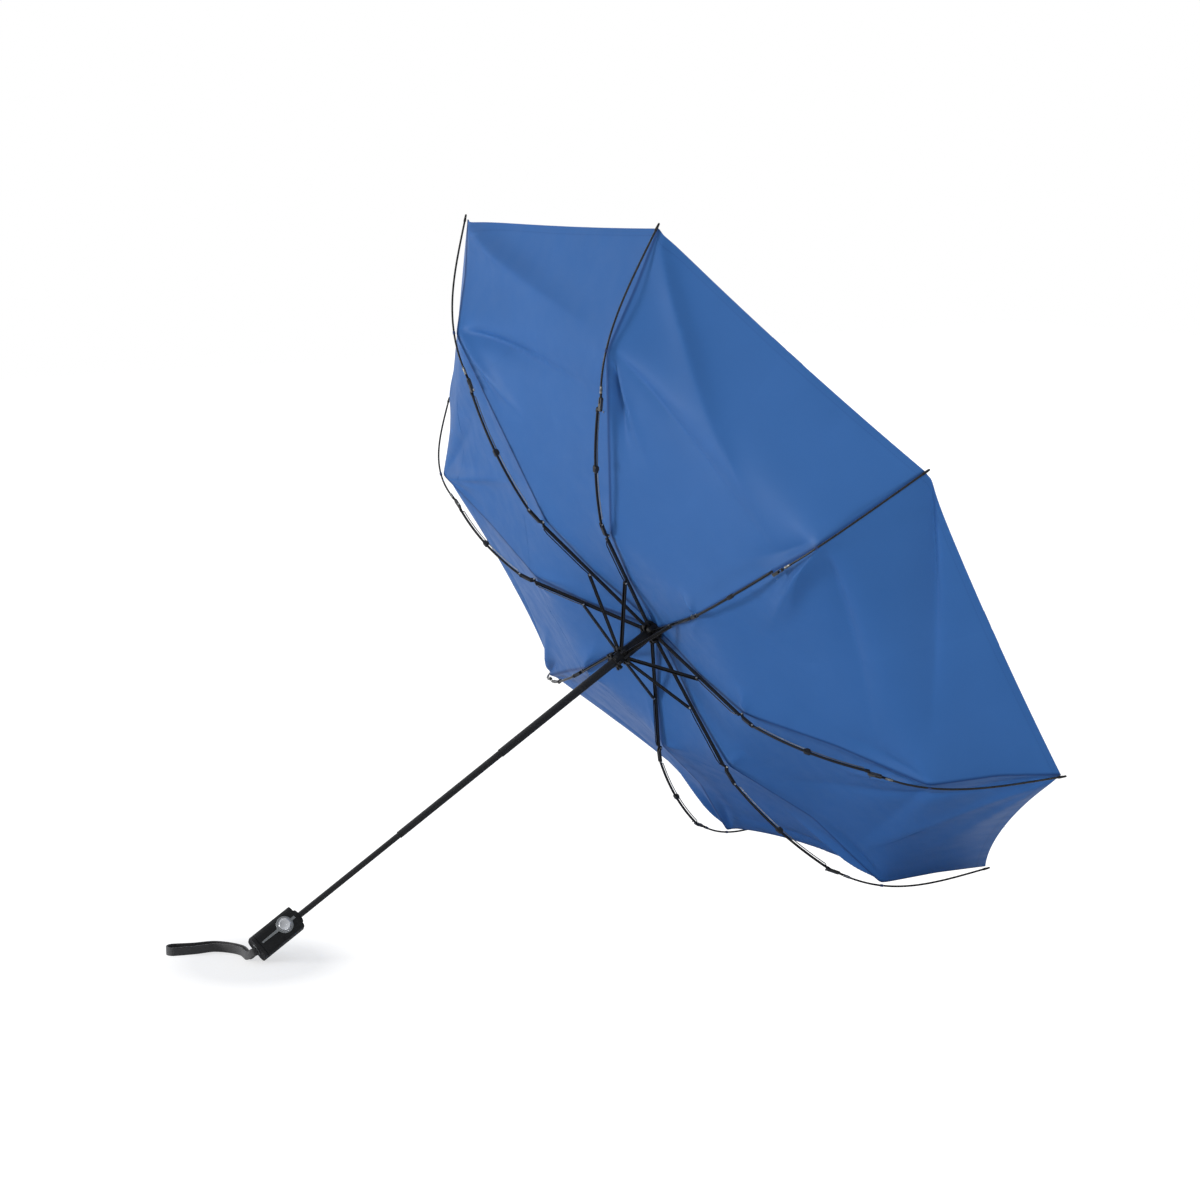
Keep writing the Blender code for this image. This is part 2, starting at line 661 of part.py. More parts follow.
def panel_point(k, seams, row, column):
    """A point of the panel that lies between rib k and the next."""
    across = column / PANEL_COLUMNS
    arch = 4 * across * (1 - across)
    hollow = 0
    if row == TIP_ROW:
        hollow = arch * (LOOSE_HEM_HOLLOW if k == LOOSE_PANEL else HEM_HOLLOW)
    ends = []
    for i in (k, k + 1):
        seam = seams[i % RIB_COUNT]
        point = seam[row]
        if hollow:
            point = point + hollow * (seam[row - 1] - point).normalized()
        turn = rib_turn(i)
        ends.append(Vector((point.x * math.cos(turn), point.x * math.sin(turn), point.y)))
    place_there = ends[0].lerp(ends[1], across)
    if column:
        place_there.z += CANOPY_BILLOW * arch * (row / TIP_ROW) ** 2 + fold_height(row, across)
    return place_there


def canopy_mesh(materials):
    """Eight taut panels hung between the seams, with the folds that the pull of the ties makes."""
    seams = [seam_points(k) for k in range(RIB_COUNT)]
    shape = bmesh.new()
    rings = []
    for row in range(len(seams[0])):
        rings.append([shape.verts.new(panel_point(k, seams, row, column))
                      for k in range(RIB_COUNT) for column in range(PANEL_COLUMNS)])
    count = len(rings[0])
    for inner, outer in zip(rings, rings[1:]):
        for i in range(count):
            j = (i + 1) % count
            shape.faces.new((inner[i], outer[i], outer[j], inner[j]))
    mesh = bpy.data.meshes.new("canopy")
    shape.to_mesh(mesh)
    shape.free()
    obj = work_object(mesh)
    skin = obj.modifiers.new("skin", 'SOLIDIFY')
    skin.thickness = CANOPY_THICKNESS
    skin.offset = 0
    solid = work_object(evaluated_mesh(obj))
    drop(obj)
    return finish(solid, "canopy", materials["fabric"], SOFT_ANGLE)


def rib_turn(k):
    """The turn of rib k about the shaft: ribs 0 and 1 lie evenly about the floor side."""
    sideways = math.atan2(SOCKET_OFFSET, rib_layout(FLOOR_BEND)["tip"].x)
    return (k - 0.5) * RIB_STEP - sideways


# Shaft, crown, runner

def tube_mesh(name, radius, length, material, steps=20):
    inner = radius - TUBE_WALL
    return finish(turned([(radius, length), (radius, 0), (inner, 0), (inner, length)], steps),
                  name, material)


def slots(inner, outer, width, low, high):
    """One radial cutter for each rib."""
    cutters = []
    for k in range(RIB_COUNT):
        cutter = block((inner, -width / 2, low), (outer, width / 2, high))
        cutter.data.transform(Matrix.Rotation(rib_turn(k), 4, 'Z'))
        cutters.append(cutter)
    return cutters


def crown_mesh(materials):
    """The notched crown: eight slots, and the wire ring that the top ribs turn on."""
    bore = UPPER_TUBE_RADIUS + GAP
    edge = (CROWN_RADIUS - NECK_RADIUS) / 3
    profile = [(CROWN_RADIUS - edge / 2, CROWN_ABOVE), (CROWN_RADIUS, CROWN_ABOVE - edge / 2),
               (CROWN_RADIUS, -CROWN_BELOW + edge), (CROWN_RADIUS - edge, -CROWN_BELOW),
               (NECK_RADIUS, -CROWN_BELOW), (NECK_RADIUS, -CROWN_BELOW - CROWN_NECK_LENGTH),
               (bore, -CROWN_BELOW - CROWN_NECK_LENGTH), (bore, CROWN_ABOVE)]
    body = turned(profile, 24)
    body = cut(body, *slots(SLOT_ROOT_RADIUS, CROWN_RADIUS + OVERRUN, CROWN_SLOT_WIDTH,
                            -CROWN_BELOW - OVERRUN, CROWN_SLOT_ROOF))
    bpy.ops.mesh.primitive_torus_add(major_segments=24, minor_segments=6,
                                     major_radius=CROWN_PIVOT_RADIUS, minor_radius=PIN_RADIUS)
    ring = bpy.context.active_object
    return finish(join(body, ring), "crown", materials["plastic"])


def runner_mesh(materials):
    """The sliding runner: a notched ring for the stretchers and a notched finger flange."""
    bore = UPPER_TUBE_RADIUS + GAP
    ring_half = RUNNER_RING_HEIGHT / 2
    flange_top = -RUNNER_FLANGE_DROP + RUNNER_FLANGE_HEIGHT
    neck_top = RUNNER_DROP - CROWN_BELOW - CROWN_NECK_LENGTH - 2 * GAP
    profile = [(NECK_RADIUS, neck_top), (NECK_RADIUS, ring_half),
               (RUNNER_RING_RADIUS, ring_half), (RUNNER_RING_RADIUS, -ring_half),
               (NECK_RADIUS + 2 * GAP, -ring_half), (NECK_RADIUS + 2 * GAP, flange_top),
               (RUNNER_FLANGE_RADIUS, flange_top), (RUNNER_FLANGE_RADIUS, -RUNNER_FLANGE_DROP),
               (bore, -RUNNER_FLANGE_DROP), (bore, neck_top)]
    body = turned(profile, 24)
    body = cut(body, *slots(SLOT_ROOT_RADIUS, RUNNER_FLANGE_RADIUS + OVERRUN,
                            RUNNER_SLOT_WIDTH, -RUNNER_FLANGE_DROP - OVERRUN,
                            ring_half + OVERRUN))
    return finish(body, "runner", materials["plastic"])


def top_cap_mesh(materials):
    """A domed cap over the canopy, with a stem that fills the end of the shaft."""
    steps = 5
    dome = []
    for i in range(steps + 1):
        angle = math.pi / 2 * (1 - i / steps)
        dome.append((CAP_RADIUS * math.cos(angle), CAP_HEIGHT * math.sin(angle)))
    dome[0] = (0, CAP_HEIGHT)
    profile = dome + [(CAP_STEM_RADIUS, 0), (CAP_STEM_RADIUS, -CAP_STEM_LENGTH),
                      (0, -CAP_STEM_LENGTH)]
    return finish(turned(profile, 24), "top_cap", materials["plastic"])


# Handle

def upright_plate(outline, thickness, low):
    """An outline across the shaft, thick along it."""
    obj = plate([outline], thickness)
    obj.data.transform(Matrix.Translation((0, 0, low + thickness / 2))
                       @ Matrix.Rotation(-math.pi / 2, 4, 'X'))
    return obj


def softened(obj, width, segments=2):
    bevel = obj.modifiers.new("edges", 'BEVEL')
    bevel.width = width
    bevel.segments = segments
    bevel.limit_method = 'ANGLE'
    bevel.angle_limit = SOFT_ANGLE
    solid = work_object(evaluated_mesh(obj))
    drop(obj)
    return solid


def button_height():
    return END_CAP_HEIGHT + GAP + BUTTON_PLACE_SHARE * (HANDLE_LENGTH - END_CAP_HEIGHT)


def bezel_outline(margin):
    """The teardrop outline: a ring with a stripe down the grip and a short one up."""
    ring = BUTTON_RADIUS + GAP + BEZEL_RING + margin
    half = BEZEL_STRIPE / 2 + margin
    up = HANDLE_LENGTH - BEZEL_MARGIN - button_height() + margin
    down = -(button_height() - END_CAP_HEIGHT - BEZEL_MARGIN) - margin
    lean = math.asin(half / ring)
    left = arc((0, 0), ring, math.pi / 2 + lean, 3 * math.pi / 2 - BEZEL_SHOULDER, 7)
    right = arc((0, 0), ring, -math.pi / 2 + BEZEL_SHOULDER, math.pi / 2 - lean, 7)
    tail = -BEZEL_TAIL_SHARE * ring
    return left + [(-half, tail), (-half, down), (half, down),
                   (half, tail)] + right + [(half, up), (-half, up)]


def handle_meshes(materials):
    outline = rounded_rectangle(HANDLE_WIDTH, HANDLE_THICKNESS, HANDLE_CORNER)
    low = END_CAP_HEIGHT + GAP
    shell = softened(upright_plate(outline, HANDLE_LENGTH - low, low), HANDLE_EDGE)
    collar = turned([(COLLAR_RADIUS - COLLAR_STEP / 2, HANDLE_LENGTH + COLLAR_HEIGHT),
                     (COLLAR_RADIUS, HANDLE_LENGTH + COLLAR_HEIGHT - COLLAR_STEP),
                     (COLLAR_RADIUS + COLLAR_STEP, HANDLE_LENGTH + GAP),
                     (COLLAR_RADIUS + COLLAR_STEP, HANDLE_LENGTH - COLLAR_HEIGHT),
                     (0, HANDLE_LENGTH - COLLAR_HEIGHT), (0, HANDLE_LENGTH + COLLAR_HEIGHT)], 20)
    shell = join(shell, collar)
    face = HANDLE_THICKNESS / 2
    bore = cylinder(LOWER_TUBE_RADIUS + GAP, (0, 0, HANDLE_LENGTH - TUBE_SEAT - GAP),
                    (0, 0, HANDLE_LENGTH + COLLAR_HEIGHT + OVERRUN), 20)
    well = cylinder(BUTTON_RADIUS + GAP, (0, -face - OVERRUN, button_height()),
                    (0, -face + BUTTON_HEIGHT - BUTTON_PROUD + BUTTON_TRAVEL + 2 * GAP,
                     button_height()), 24)
    rebate = plate([bezel_outline(GAP)], BEZEL_SUNK + GAP + OVERRUN)
    rebate.data.transform(Matrix.Translation(
        (0, -face + (BEZEL_SUNK + GAP - OVERRUN) / 2, button_height())))
    shell = cut(shell, bore, well, rebate)

    cap = softened(upright_plate(outline, END_CAP_HEIGHT, 0), HANDLE_EDGE / 2, 2)
    slot = block((-STRAP_SLOT_LENGTH / 2, -STRAP_SLOT_WIDTH / 2, -OVERRUN),
                 (STRAP_SLOT_LENGTH / 2, STRAP_SLOT_WIDTH / 2, STRAP_SLOT_DEPTH))
    slot.data.transform(Matrix.Rotation(-BUTTON_TURN - math.pi / 2, 4, 'Z'))
    cap = cut(cap, slot)

    bezel = plate([bezel_outline(0)], BEZEL_THICKNESS)
    bezel = cut(bezel, cylinder(BUTTON_RADIUS + GAP, (0, -OVERRUN, 0), (0, OVERRUN, 0), 24))
    button = cylinder(BUTTON_RADIUS, (0, 0, 0), (0, BUTTON_HEIGHT, 0), 24)
    button = softened(button, BUTTON_EDGE)
    return (finish(shell, "handle_shell", materials["grip"]),
            finish(cap, "handle_end_cap", materials["plastic"]),
            finish(bezel, "button_bezel", materials["bezel"]),
            finish(button, "release_button", materials["chrome"]))


# Assembly

def build_ribs(shaft, materials):
    layout = rib_layout(0)
    runner_pivot = Vector((RUNNER_PIVOT_RADIUS, -RUNNER_DROP))
    stay = runner_pivot - layout["stretcher"]
    meshes = {
        "top_rib": top_rib_mesh(materials),
        "stretcher": stretcher_mesh(stay.length, materials),
        "knuckle": knuckle_mesh(materials),
        "middle_rib": middle_rib_mesh(materials),
        "rib_socket": rib_socket_mesh(materials),
        "outer_rib": outer_rib_mesh(materials),
    }
    for k in range(RIB_COUNT):
        bend = rib_bend(k)
        layout = rib_layout(bend)
        plane = add_empty(f"rib_plane_{k + 1}", shaft, (0, 0, CROWN_HEIGHT),
                          (0, 0, rib_turn(k)))
        members = (("top_rib", "crown", TOP_RIB_SLOPE, 0),
                   ("stretcher", "stretcher", math.atan2(stay.y, stay.x), 0),
                   ("knuckle", "knuckle", KNUCKLE_SLOPE, 0),
                   ("middle_rib", "middle", MIDDLE_RIB_SLOPE, 0),
                   ("rib_socket", "socket", SOCKET_SLOPE + bend, SOCKET_OFFSET),
                   ("outer_rib", "outer", OUTER_RIB_SLOPE + bend, SOCKET_OFFSET))
        for name, pivot, slope, across in members:
            at = layout[pivot]
            place(f"{name}_{k + 1}", meshes[name], plane, (at.x, across, at.y), (0, -slope, 0))


def build_shaft(shaft, materials):
    seat = HANDLE_LENGTH - TUBE_SEAT
    lower_top = HANDLE_LENGTH + COLLAR_HEIGHT + LOWER_TUBE_SHOWN
    middle_top = lower_top + MIDDLE_TUBE_SHOWN
    steel = materials["black_steel"]
    place("tube_lower", tube_mesh("tube_lower", LOWER_TUBE_RADIUS,
                                  lower_top + TUBE_OVERLAP - seat, steel), shaft, (0, 0, seat))
    place("tube_middle", tube_mesh("tube_middle", MIDDLE_TUBE_RADIUS,
                                   MIDDLE_TUBE_SHOWN + TUBE_OVERLAP, steel),
          shaft, (0, 0, lower_top))
    place("tube_upper", tube_mesh("tube_upper", UPPER_TUBE_RADIUS,
                                  UPPER_TUBE_SHOWN + CROWN_ABOVE, steel),
          shaft, (0, 0, middle_top))
    place("crown", crown_mesh(materials), shaft, (0, 0, CROWN_HEIGHT))
    place("runner", runner_mesh(materials), shaft, (0, 0, CROWN_HEIGHT - RUNNER_DROP))
    cap_height = CROWN_HEIGHT + CROWN_ABOVE + 2 * GAP + CANOPY_THICKNESS
    place("top_cap", top_cap_mesh(materials), shaft, (0, 0, cap_height))


def build_handle(shaft, materials):
    grip = add_empty("grip_frame", shaft, (0, 0, 0), (0, 0, BUTTON_TURN + math.pi / 2))
    shell, cap, bezel, button = handle_meshes(materials)
    place("handle_shell", shell, grip)
    place("handle_end_cap", cap, grip)
    face = -HANDLE_THICKNESS / 2
    place("button_bezel", bezel, grip,
          (0, face + BEZEL_SUNK - BEZEL_THICKNESS / 2, button_height()))
    place("release_button", button, grip, (0, face - BUTTON_PROUD, button_height()))


def lowest(names, lean):
    """The least height of the named sub-parts, in the shaft's frame leaned by the angle."""
    bpy.context.view_layer.update()
    up = Vector((-math.cos(lean), 0, math.sin(lean)))
    return min(up.dot(bpy.data.objects[name].matrix_world @ vertex.co)
               for name in names for vertex in bpy.data.objects[name].data.vertices)


def resting_lean():
    """The lean at which the handle's edge and the two low tips are level."""
    tips = [f"outer_rib_{k + 1}" for k in LOW_RIBS]
    low, high = LEAN_RANGE
    for _ in range(30):
        middle = (low + high) / 2
        if lowest(tips, middle) > lowest(["handle_end_cap"], middle):
            high = middle
        else:
            low = middle
    return low


def centre_over_origin(umbrella):
    """Move the whole part so that the origin is under the middle of its box."""
    bpy.context.view_layer.update()
    points = [obj.matrix_world @ vertex.co for obj in COLLECTION.objects if obj.type == 'MESH'
              for vertex in obj.data.vertices]
    for axis in (0, 1):
        values = [point[axis] for point in points]
        umbrella.location[axis] = -(min(values) + max(values)) / 2


def strap_route(root, along):
    """Places along the strap's middle: out of its slot, down to the floor and to the side."""
    height = STRAP_WIDTH / 2 + STRAP_FLOOR_GAP
    stops = [root - along * STRAP_SLOT_DEPTH, root, root + along * STRAP_SLOT_DEPTH,
             root + 2 * along * STRAP_SLOT_DEPTH]
    stops += [Vector((root.x + x, root.y + y, height)) for x, y in STRAP_ROUTE]
    stops.append(2 * stops[-1] - stops[-2])
    route = []
    for before, here, after, last in zip(stops, stops[1:], stops[2:], stops[3:]):
        for i in range(STRAP_STEPS):
            t = i / STRAP_STEPS
            route.append(0.5 * (2 * here + (after - before) * t
                                + (2 * before - 5 * here + 4 * after - last) * t ** 2
                                + (3 * here - before - 3 * after + last) * t ** 3))
    route.append(stops[-2])
    return route


def strap_mesh(exit_point, lean, materials):
    """Flat webbing folded double, standing on its edge, from the end cap along the floor."""
    along = Vector((-math.cos(lean), 0, -math.sin(lean)))
    edge_at_slot = Vector((-math.sin(lean), 0, math.cos(lean)))
    upright = Vector((0, 0, 1))
    root = exit_point - along * (STRAP_SLOT_DEPTH - STRAP_THICKNESS - GAP)
    route = strap_route(root, along)
    last = len(route) - 1
    floor_height = route[-1].z
    right = []
    left = []
    for i, point in enumerate(route):
        run = (route[min(last, i + 1)] - route[max(0, i - 1)]).normalized()
        across = run.cross(upright).normalized()
        landed = min(1.0, (root.z - point.z) / (root.z - floor_height))
        edge = edge_at_slot.lerp(upright, landed).normalized()
        spread = STRAP_PLY_GAP + (STRAP_LOOP_GAP - STRAP_PLY_GAP) * (i / last) ** 2
        right.append((point + across * spread / 2, across, edge))
        left.append((point - across * spread / 2, -across, edge))
    bend = []
    for i in range(1, STRAP_BEND_STEPS):
        angle = math.pi * i / STRAP_BEND_STEPS
        out = across * math.cos(angle) + run * math.sin(angle)
        bend.append((route[-1] + out * STRAP_LOOP_GAP / 2, out, upright))

    shape = bmesh.new()
    rings = []
    for point, out, edge in right + bend + left[::-1]:
        rings.append([shape.verts.new(point + out * a * STRAP_THICKNESS / 2
                                      + edge * b * STRAP_WIDTH / 2)
                      for a, b in ((1, 1), (1, -1), (-1, -1), (-1, 1))])
    for here, after in zip(rings, rings[1:] + rings[:1]):
        for i in range(4):
            shape.faces.new((here[i], here[i - 1], after[i - 1], after[i]))
    mesh = bpy.data.meshes.new("wrist_strap")
    shape.to_mesh(mesh)
    shape.free()
    return finish(work_object(mesh), "wrist_strap", materials["webbing"])


def build():
    materials = make_materials()
    umbrella = add_empty("umbrella")
    shaft = add_empty("shaft", umbrella)
    build_handle(shaft, materials)
    build_shaft(shaft, materials)
    build_ribs(shaft, materials)
    place("canopy", canopy_mesh(materials), shaft, (0, 0, CROWN_HEIGHT))
    lean = resting_lean()
    lift = -lowest(["handle_end_cap"], lean)
    shaft.rotation_euler = (0, math.pi / 2 - lean, 0)
    shaft.location = (0, 0, lift)
    strap = strap_mesh(Vector((0, 0, lift)), lean, materials)
    place("wrist_strap", strap, umbrella)
    centre_over_origin(umbrella)
    print("lean of the shaft above the floor, degrees:", round(math.degrees(lean), 2))


clear_scene()
COLLECTION = bpy.data.collections.new("windproof_umbrella")
bpy.context.scene.collection.children.link(COLLECTION)
build()
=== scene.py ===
"""Looks of a windproof umbrella that lies blown inside out: cloth, fine ribs, finishes, light.

Lengths are in metres. The shaft's own frame has its origin at the crown's pivots: Z runs from
the handle to the crown, X is the side that faces the floor. A rib's plane holds the radius r
and the height z of that frame.
"""
import json
import math

import bpy
import numpy as np
from mathutils import Matrix, Vector


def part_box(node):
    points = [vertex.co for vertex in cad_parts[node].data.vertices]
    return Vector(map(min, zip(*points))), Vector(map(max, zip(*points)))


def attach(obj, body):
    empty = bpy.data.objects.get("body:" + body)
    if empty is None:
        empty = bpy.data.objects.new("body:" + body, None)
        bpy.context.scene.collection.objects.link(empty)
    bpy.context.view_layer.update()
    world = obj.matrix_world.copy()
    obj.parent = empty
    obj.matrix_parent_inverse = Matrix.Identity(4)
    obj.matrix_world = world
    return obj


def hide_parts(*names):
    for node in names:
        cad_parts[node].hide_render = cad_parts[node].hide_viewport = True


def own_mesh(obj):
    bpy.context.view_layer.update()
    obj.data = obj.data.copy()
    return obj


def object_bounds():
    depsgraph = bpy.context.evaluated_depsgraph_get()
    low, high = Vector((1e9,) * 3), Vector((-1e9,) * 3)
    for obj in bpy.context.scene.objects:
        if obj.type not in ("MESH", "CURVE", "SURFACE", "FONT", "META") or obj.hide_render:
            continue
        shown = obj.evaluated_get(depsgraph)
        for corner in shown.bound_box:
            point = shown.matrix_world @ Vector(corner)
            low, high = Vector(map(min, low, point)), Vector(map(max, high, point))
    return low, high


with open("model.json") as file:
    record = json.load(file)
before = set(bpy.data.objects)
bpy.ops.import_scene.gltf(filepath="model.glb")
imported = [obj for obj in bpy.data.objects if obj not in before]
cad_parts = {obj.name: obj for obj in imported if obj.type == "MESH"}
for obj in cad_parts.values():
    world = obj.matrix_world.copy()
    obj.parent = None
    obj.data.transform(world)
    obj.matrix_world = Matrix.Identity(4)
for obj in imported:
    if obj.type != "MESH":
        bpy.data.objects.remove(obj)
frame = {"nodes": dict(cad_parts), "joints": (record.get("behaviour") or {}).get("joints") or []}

CAD_BOUNDS = [list(corner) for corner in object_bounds()]
MM = 0.001
JOINTS = {joint["name"]: joint for joint in frame["joints"]}

# Sizes of the part that the frame's joints don't give
RIB_COUNT = 8
LOW_RIBS = (1, 2)
CROWN_HEIGHT = 601.0 * MM
TOP_RIB_SLOPE = math.radians(-9.4)
OUTER_RIB_SLOPE = math.radians(38.3)
FLOOR_BEND = math.radians(16.0)
OUTER_RIB_LENGTH = 201.5 * MM
MIDDLE_RIB_LENGTH = 153.5 * MM
MIDDLE_ROD_SAG = 6.0 * MM
OUTER_START_SLOPE = math.radians(-26.0)
OUTER_END_SLOPE = math.radians(12.0)
OUTER_HANDLE_SHARE = 0.37
TIE_SHARE = 0.27
SOCKET_OFFSET = 3.8 * MM
HINGE_RADIUS = 1.6 * MM

# Camera, fitted to the photograph: its place and axes in the shaft's frame
LENS = 85.26
CAMERA_PLACE = (-1433.8 * MM, -2705.2 * MM, -1324.9 * MM)
CAMERA_RIGHT = (0.41682941, -0.55252091, 0.72178521)
CAMERA_DOWN = (0.80964850, -0.13526573, -0.57111513)

RNG = np.random.default_rng(7)


def in_mm(rows):
    """Rows of numbers that are given in millimetres."""
    return [tuple(value * MM for value in row) for row in rows]


def per_rib(*sizes):
    """One size in millimetres for each rib."""
    return {k: size * MM for k, size in enumerate(sizes, 1)}


# Frame of the shaft and of the ribs

def hinge_name(kind, k):
    """The joint that carries a member of rib k, counted from 1."""
    if k == 1 and kind == "top_rib":
        return "fold"
    if k == 1 and kind == "middle_rib":
        return "wind_flip"
    return f"{kind}_{k}_hinge"


def pivot(kind, k):
    return Vector(JOINTS[hinge_name(kind, k)]["pos_m"])


SHAFT_Z = -Vector(JOINTS["lower_telescope"]["axis"]).normalized()
SHAFT_Y = Vector((0, 1, 0))
SHAFT_X = SHAFT_Y.cross(SHAFT_Z).normalized()
CROWN = sum((pivot("top_rib", k) for k in range(1, RIB_COUNT + 1)), Vector()) / RIB_COUNT
SHAFT = np.array([SHAFT_X, SHAFT_Y, SHAFT_Z])


def to_world(points):
    """Points of the shaft's frame, as rows, in the world."""
    return np.asarray(points, float) @ SHAFT + np.array(CROWN)


def to_shaft(point):
    return SHAFT @ (np.array(point) - np.array(CROWN))


def rib_turn(k):
    x, y, _ = to_shaft(pivot("top_rib", k))
    return math.atan2(y, x)


def in_plane(k, kind):
    """Radius and height of a pivot of rib k."""
    x, y, z = to_shaft(pivot(kind, k))
    turn = rib_turn(k)
    return np.array([x * math.cos(turn) + y * math.sin(turn), z])


def heading(slope):
    return np.array([math.cos(slope), math.sin(slope)])


def canopy_side(slope):
    return np.array([-math.sin(slope), math.cos(slope)])


def middle_rod_drop(share):
    return -MIDDLE_ROD_SAG * 4 * share * (1 - share)


def outer_rod_point(share):
    """A point of the outer rod from its own pivot, a cubic curve; share may be an array."""
    share = np.asarray(share, float)[..., None]
    reach = OUTER_HANDLE_SHARE * OUTER_RIB_LENGTH
    first = reach * heading(OUTER_START_SLOPE)
    end = np.array([OUTER_RIB_LENGTH, 0])
    last = end - reach * heading(OUTER_END_SLOPE)
    rest = 1 - share
    return 3 * rest ** 2 * share * first + 3 * rest * share ** 2 * last + share ** 3 * end


class Member:
    """One member of a rib: its pivot, slope and place across the rib's plane."""

    def __init__(self, k, kind, slope, across=0.0):
        self.turn = rib_turn(k)
        self.start = in_plane(k, kind)
        self.slope = slope
        self.across = across

    def world(self, points, across=0.0):
        """Points (along the member, towards the canopy) in the world."""
        points = np.asarray(points, float).reshape(-1, 2)
        plane = (self.start + points[:, :1] * heading(self.slope)
                 + points[:, 1:] * canopy_side(self.slope))
        side = self.across + across
        cos, sin = math.cos(self.turn), math.sin(self.turn)
        radius = plane[:, 0]
        return to_world(np.stack([radius * cos - side * sin, radius * sin + side * cos,
                                  plane[:, 1]], 1))

    def point(self, place, across=0.0):
        return self.world([place], across)[0]


def bend_of(k):
    return FLOOR_BEND if k in LOW_RIBS else 0.0


def outer_member(k):
    return Member(k, "outer_rib", OUTER_RIB_SLOPE + bend_of(k), SOCKET_OFFSET)


def middle_member(k):
    run = in_plane(k, "rib_socket") - in_plane(k, "middle_rib")
    return Member(k, "middle_rib", math.atan2(run[1], run[0]))


# Meshes

SHARP_ANGLE = math.radians(40)
UNALIGNED = (0.31, 0.17, 0.93)


def linked(name, data):
    obj = bpy.data.objects.new(name, data)
    bpy.context.scene.collection.objects.link(obj)
    return obj


def make_object(name, points, faces, material):
    mesh = bpy.data.meshes.new(name)
    mesh.from_pydata([tuple(point) for point in points], [], faces)
    mesh.materials.append(material)
    mesh.shade_smooth()
    mesh.set_sharp_from_angle(angle=SHARP_ANGLE)
    return linked(name, mesh)


def joined(*shapes):
    """Several (points, faces) as one."""
    points, faces, start = [], [], 0
    for shape_points, shape_faces in shapes:
        points.append(np.asarray(shape_points, float))
        faces += [tuple(i + start for i in face) for face in shape_faces]
        start += len(shape_points)
    return np.concatenate(points), faces


def circle(side, other, sides):
    """Directions all round, in the plane of two directions."""
    turns = np.arange(sides) * 2 * math.pi / sides
    return np.cos(turns)[:, None] * side + np.sin(turns)[:, None] * other


def sweep(path, radius, sides=12):
    """A round body along a path, with flat ends."""
    path = np.asarray(path, float)
    runs = np.gradient(path, axis=0)
    runs /= np.linalg.norm(runs, axis=1)[:, None]
    side = np.cross(runs[0], UNALIGNED)
    rings = []
    for point, run in zip(path, runs):
        side = side - run * side.dot(run)
        side /= np.linalg.norm(side)
        rings.append(point + radius * circle(side, np.cross(run, side), sides))
    return loft(rings)


def loft(rings):
    """A closed body through rings of equally many points, with flat ends."""
    count = len(rings[0])
    faces = []
    for i in range(len(rings) - 1):
        for j in range(count):
            after = (j + 1) % count
            faces.append((i * count + j, i * count + after,
                          (i + 1) * count + after, (i + 1) * count + j))
    faces.append(tuple(range(count))[::-1])
    faces.append(tuple(range((len(rings) - 1) * count, len(rings) * count)))
    return np.concatenate(rings), faces


def turned(start, axis, profile, sides=16):
    """A body turned about an axis; the profile is a list of (along, radius)."""
    start, axis = np.array(start), np.array(axis)
    side = np.cross(axis, UNALIGNED)
    side /= np.linalg.norm(side)
    ring = circle(side, np.cross(axis, side), sides)
    return loft([start + axis * along + ring * radius for along, radius in profile])


LINK_STEPS = 8


def link_plate(member, ends, radius, thickness):
    """A flat link with round ends between two points of a member's plane."""
    a, b = np.array(ends[0]), np.array(ends[1])
    angle = math.atan2(b[1] - a[1], b[0] - a[0])
    outline = []
    for centre, start in ((b, angle - math.pi / 2), (a, angle + math.pi / 2)):
        for i in range(LINK_STEPS + 1):
            turn = start + math.pi * i / LINK_STEPS
            outline.append(centre + radius * heading(turn))
    return loft([member.world(outline, side * thickness / 2) for side in (1, -1)])


# Materials

def feed(tree, socket, value):
    """Sets an input, or links it when the value is the output of a node."""
    if isinstance(value, bpy.types.NodeSocket):
        tree.links.new(value, socket)
    else:
        socket.default_value = value


def add_node(tree, kind, inputs=None, **settings):
    node = tree.nodes.new(kind)
    for name, value in settings.items():
        setattr(node, name, value)
    for name, value in (inputs or {}).items():
        feed(tree, node.inputs[name], value)
    return node


def map_range(tree, output, low, high, start=0.3, end=0.7):
    """Maps a texture onto a range."""
    inputs = {"Value": output, "From Min": start, "From Max": end, "To Min": low, "To Max": high}
    return add_node(tree, "ShaderNodeMapRange", inputs).outputs["Result"]


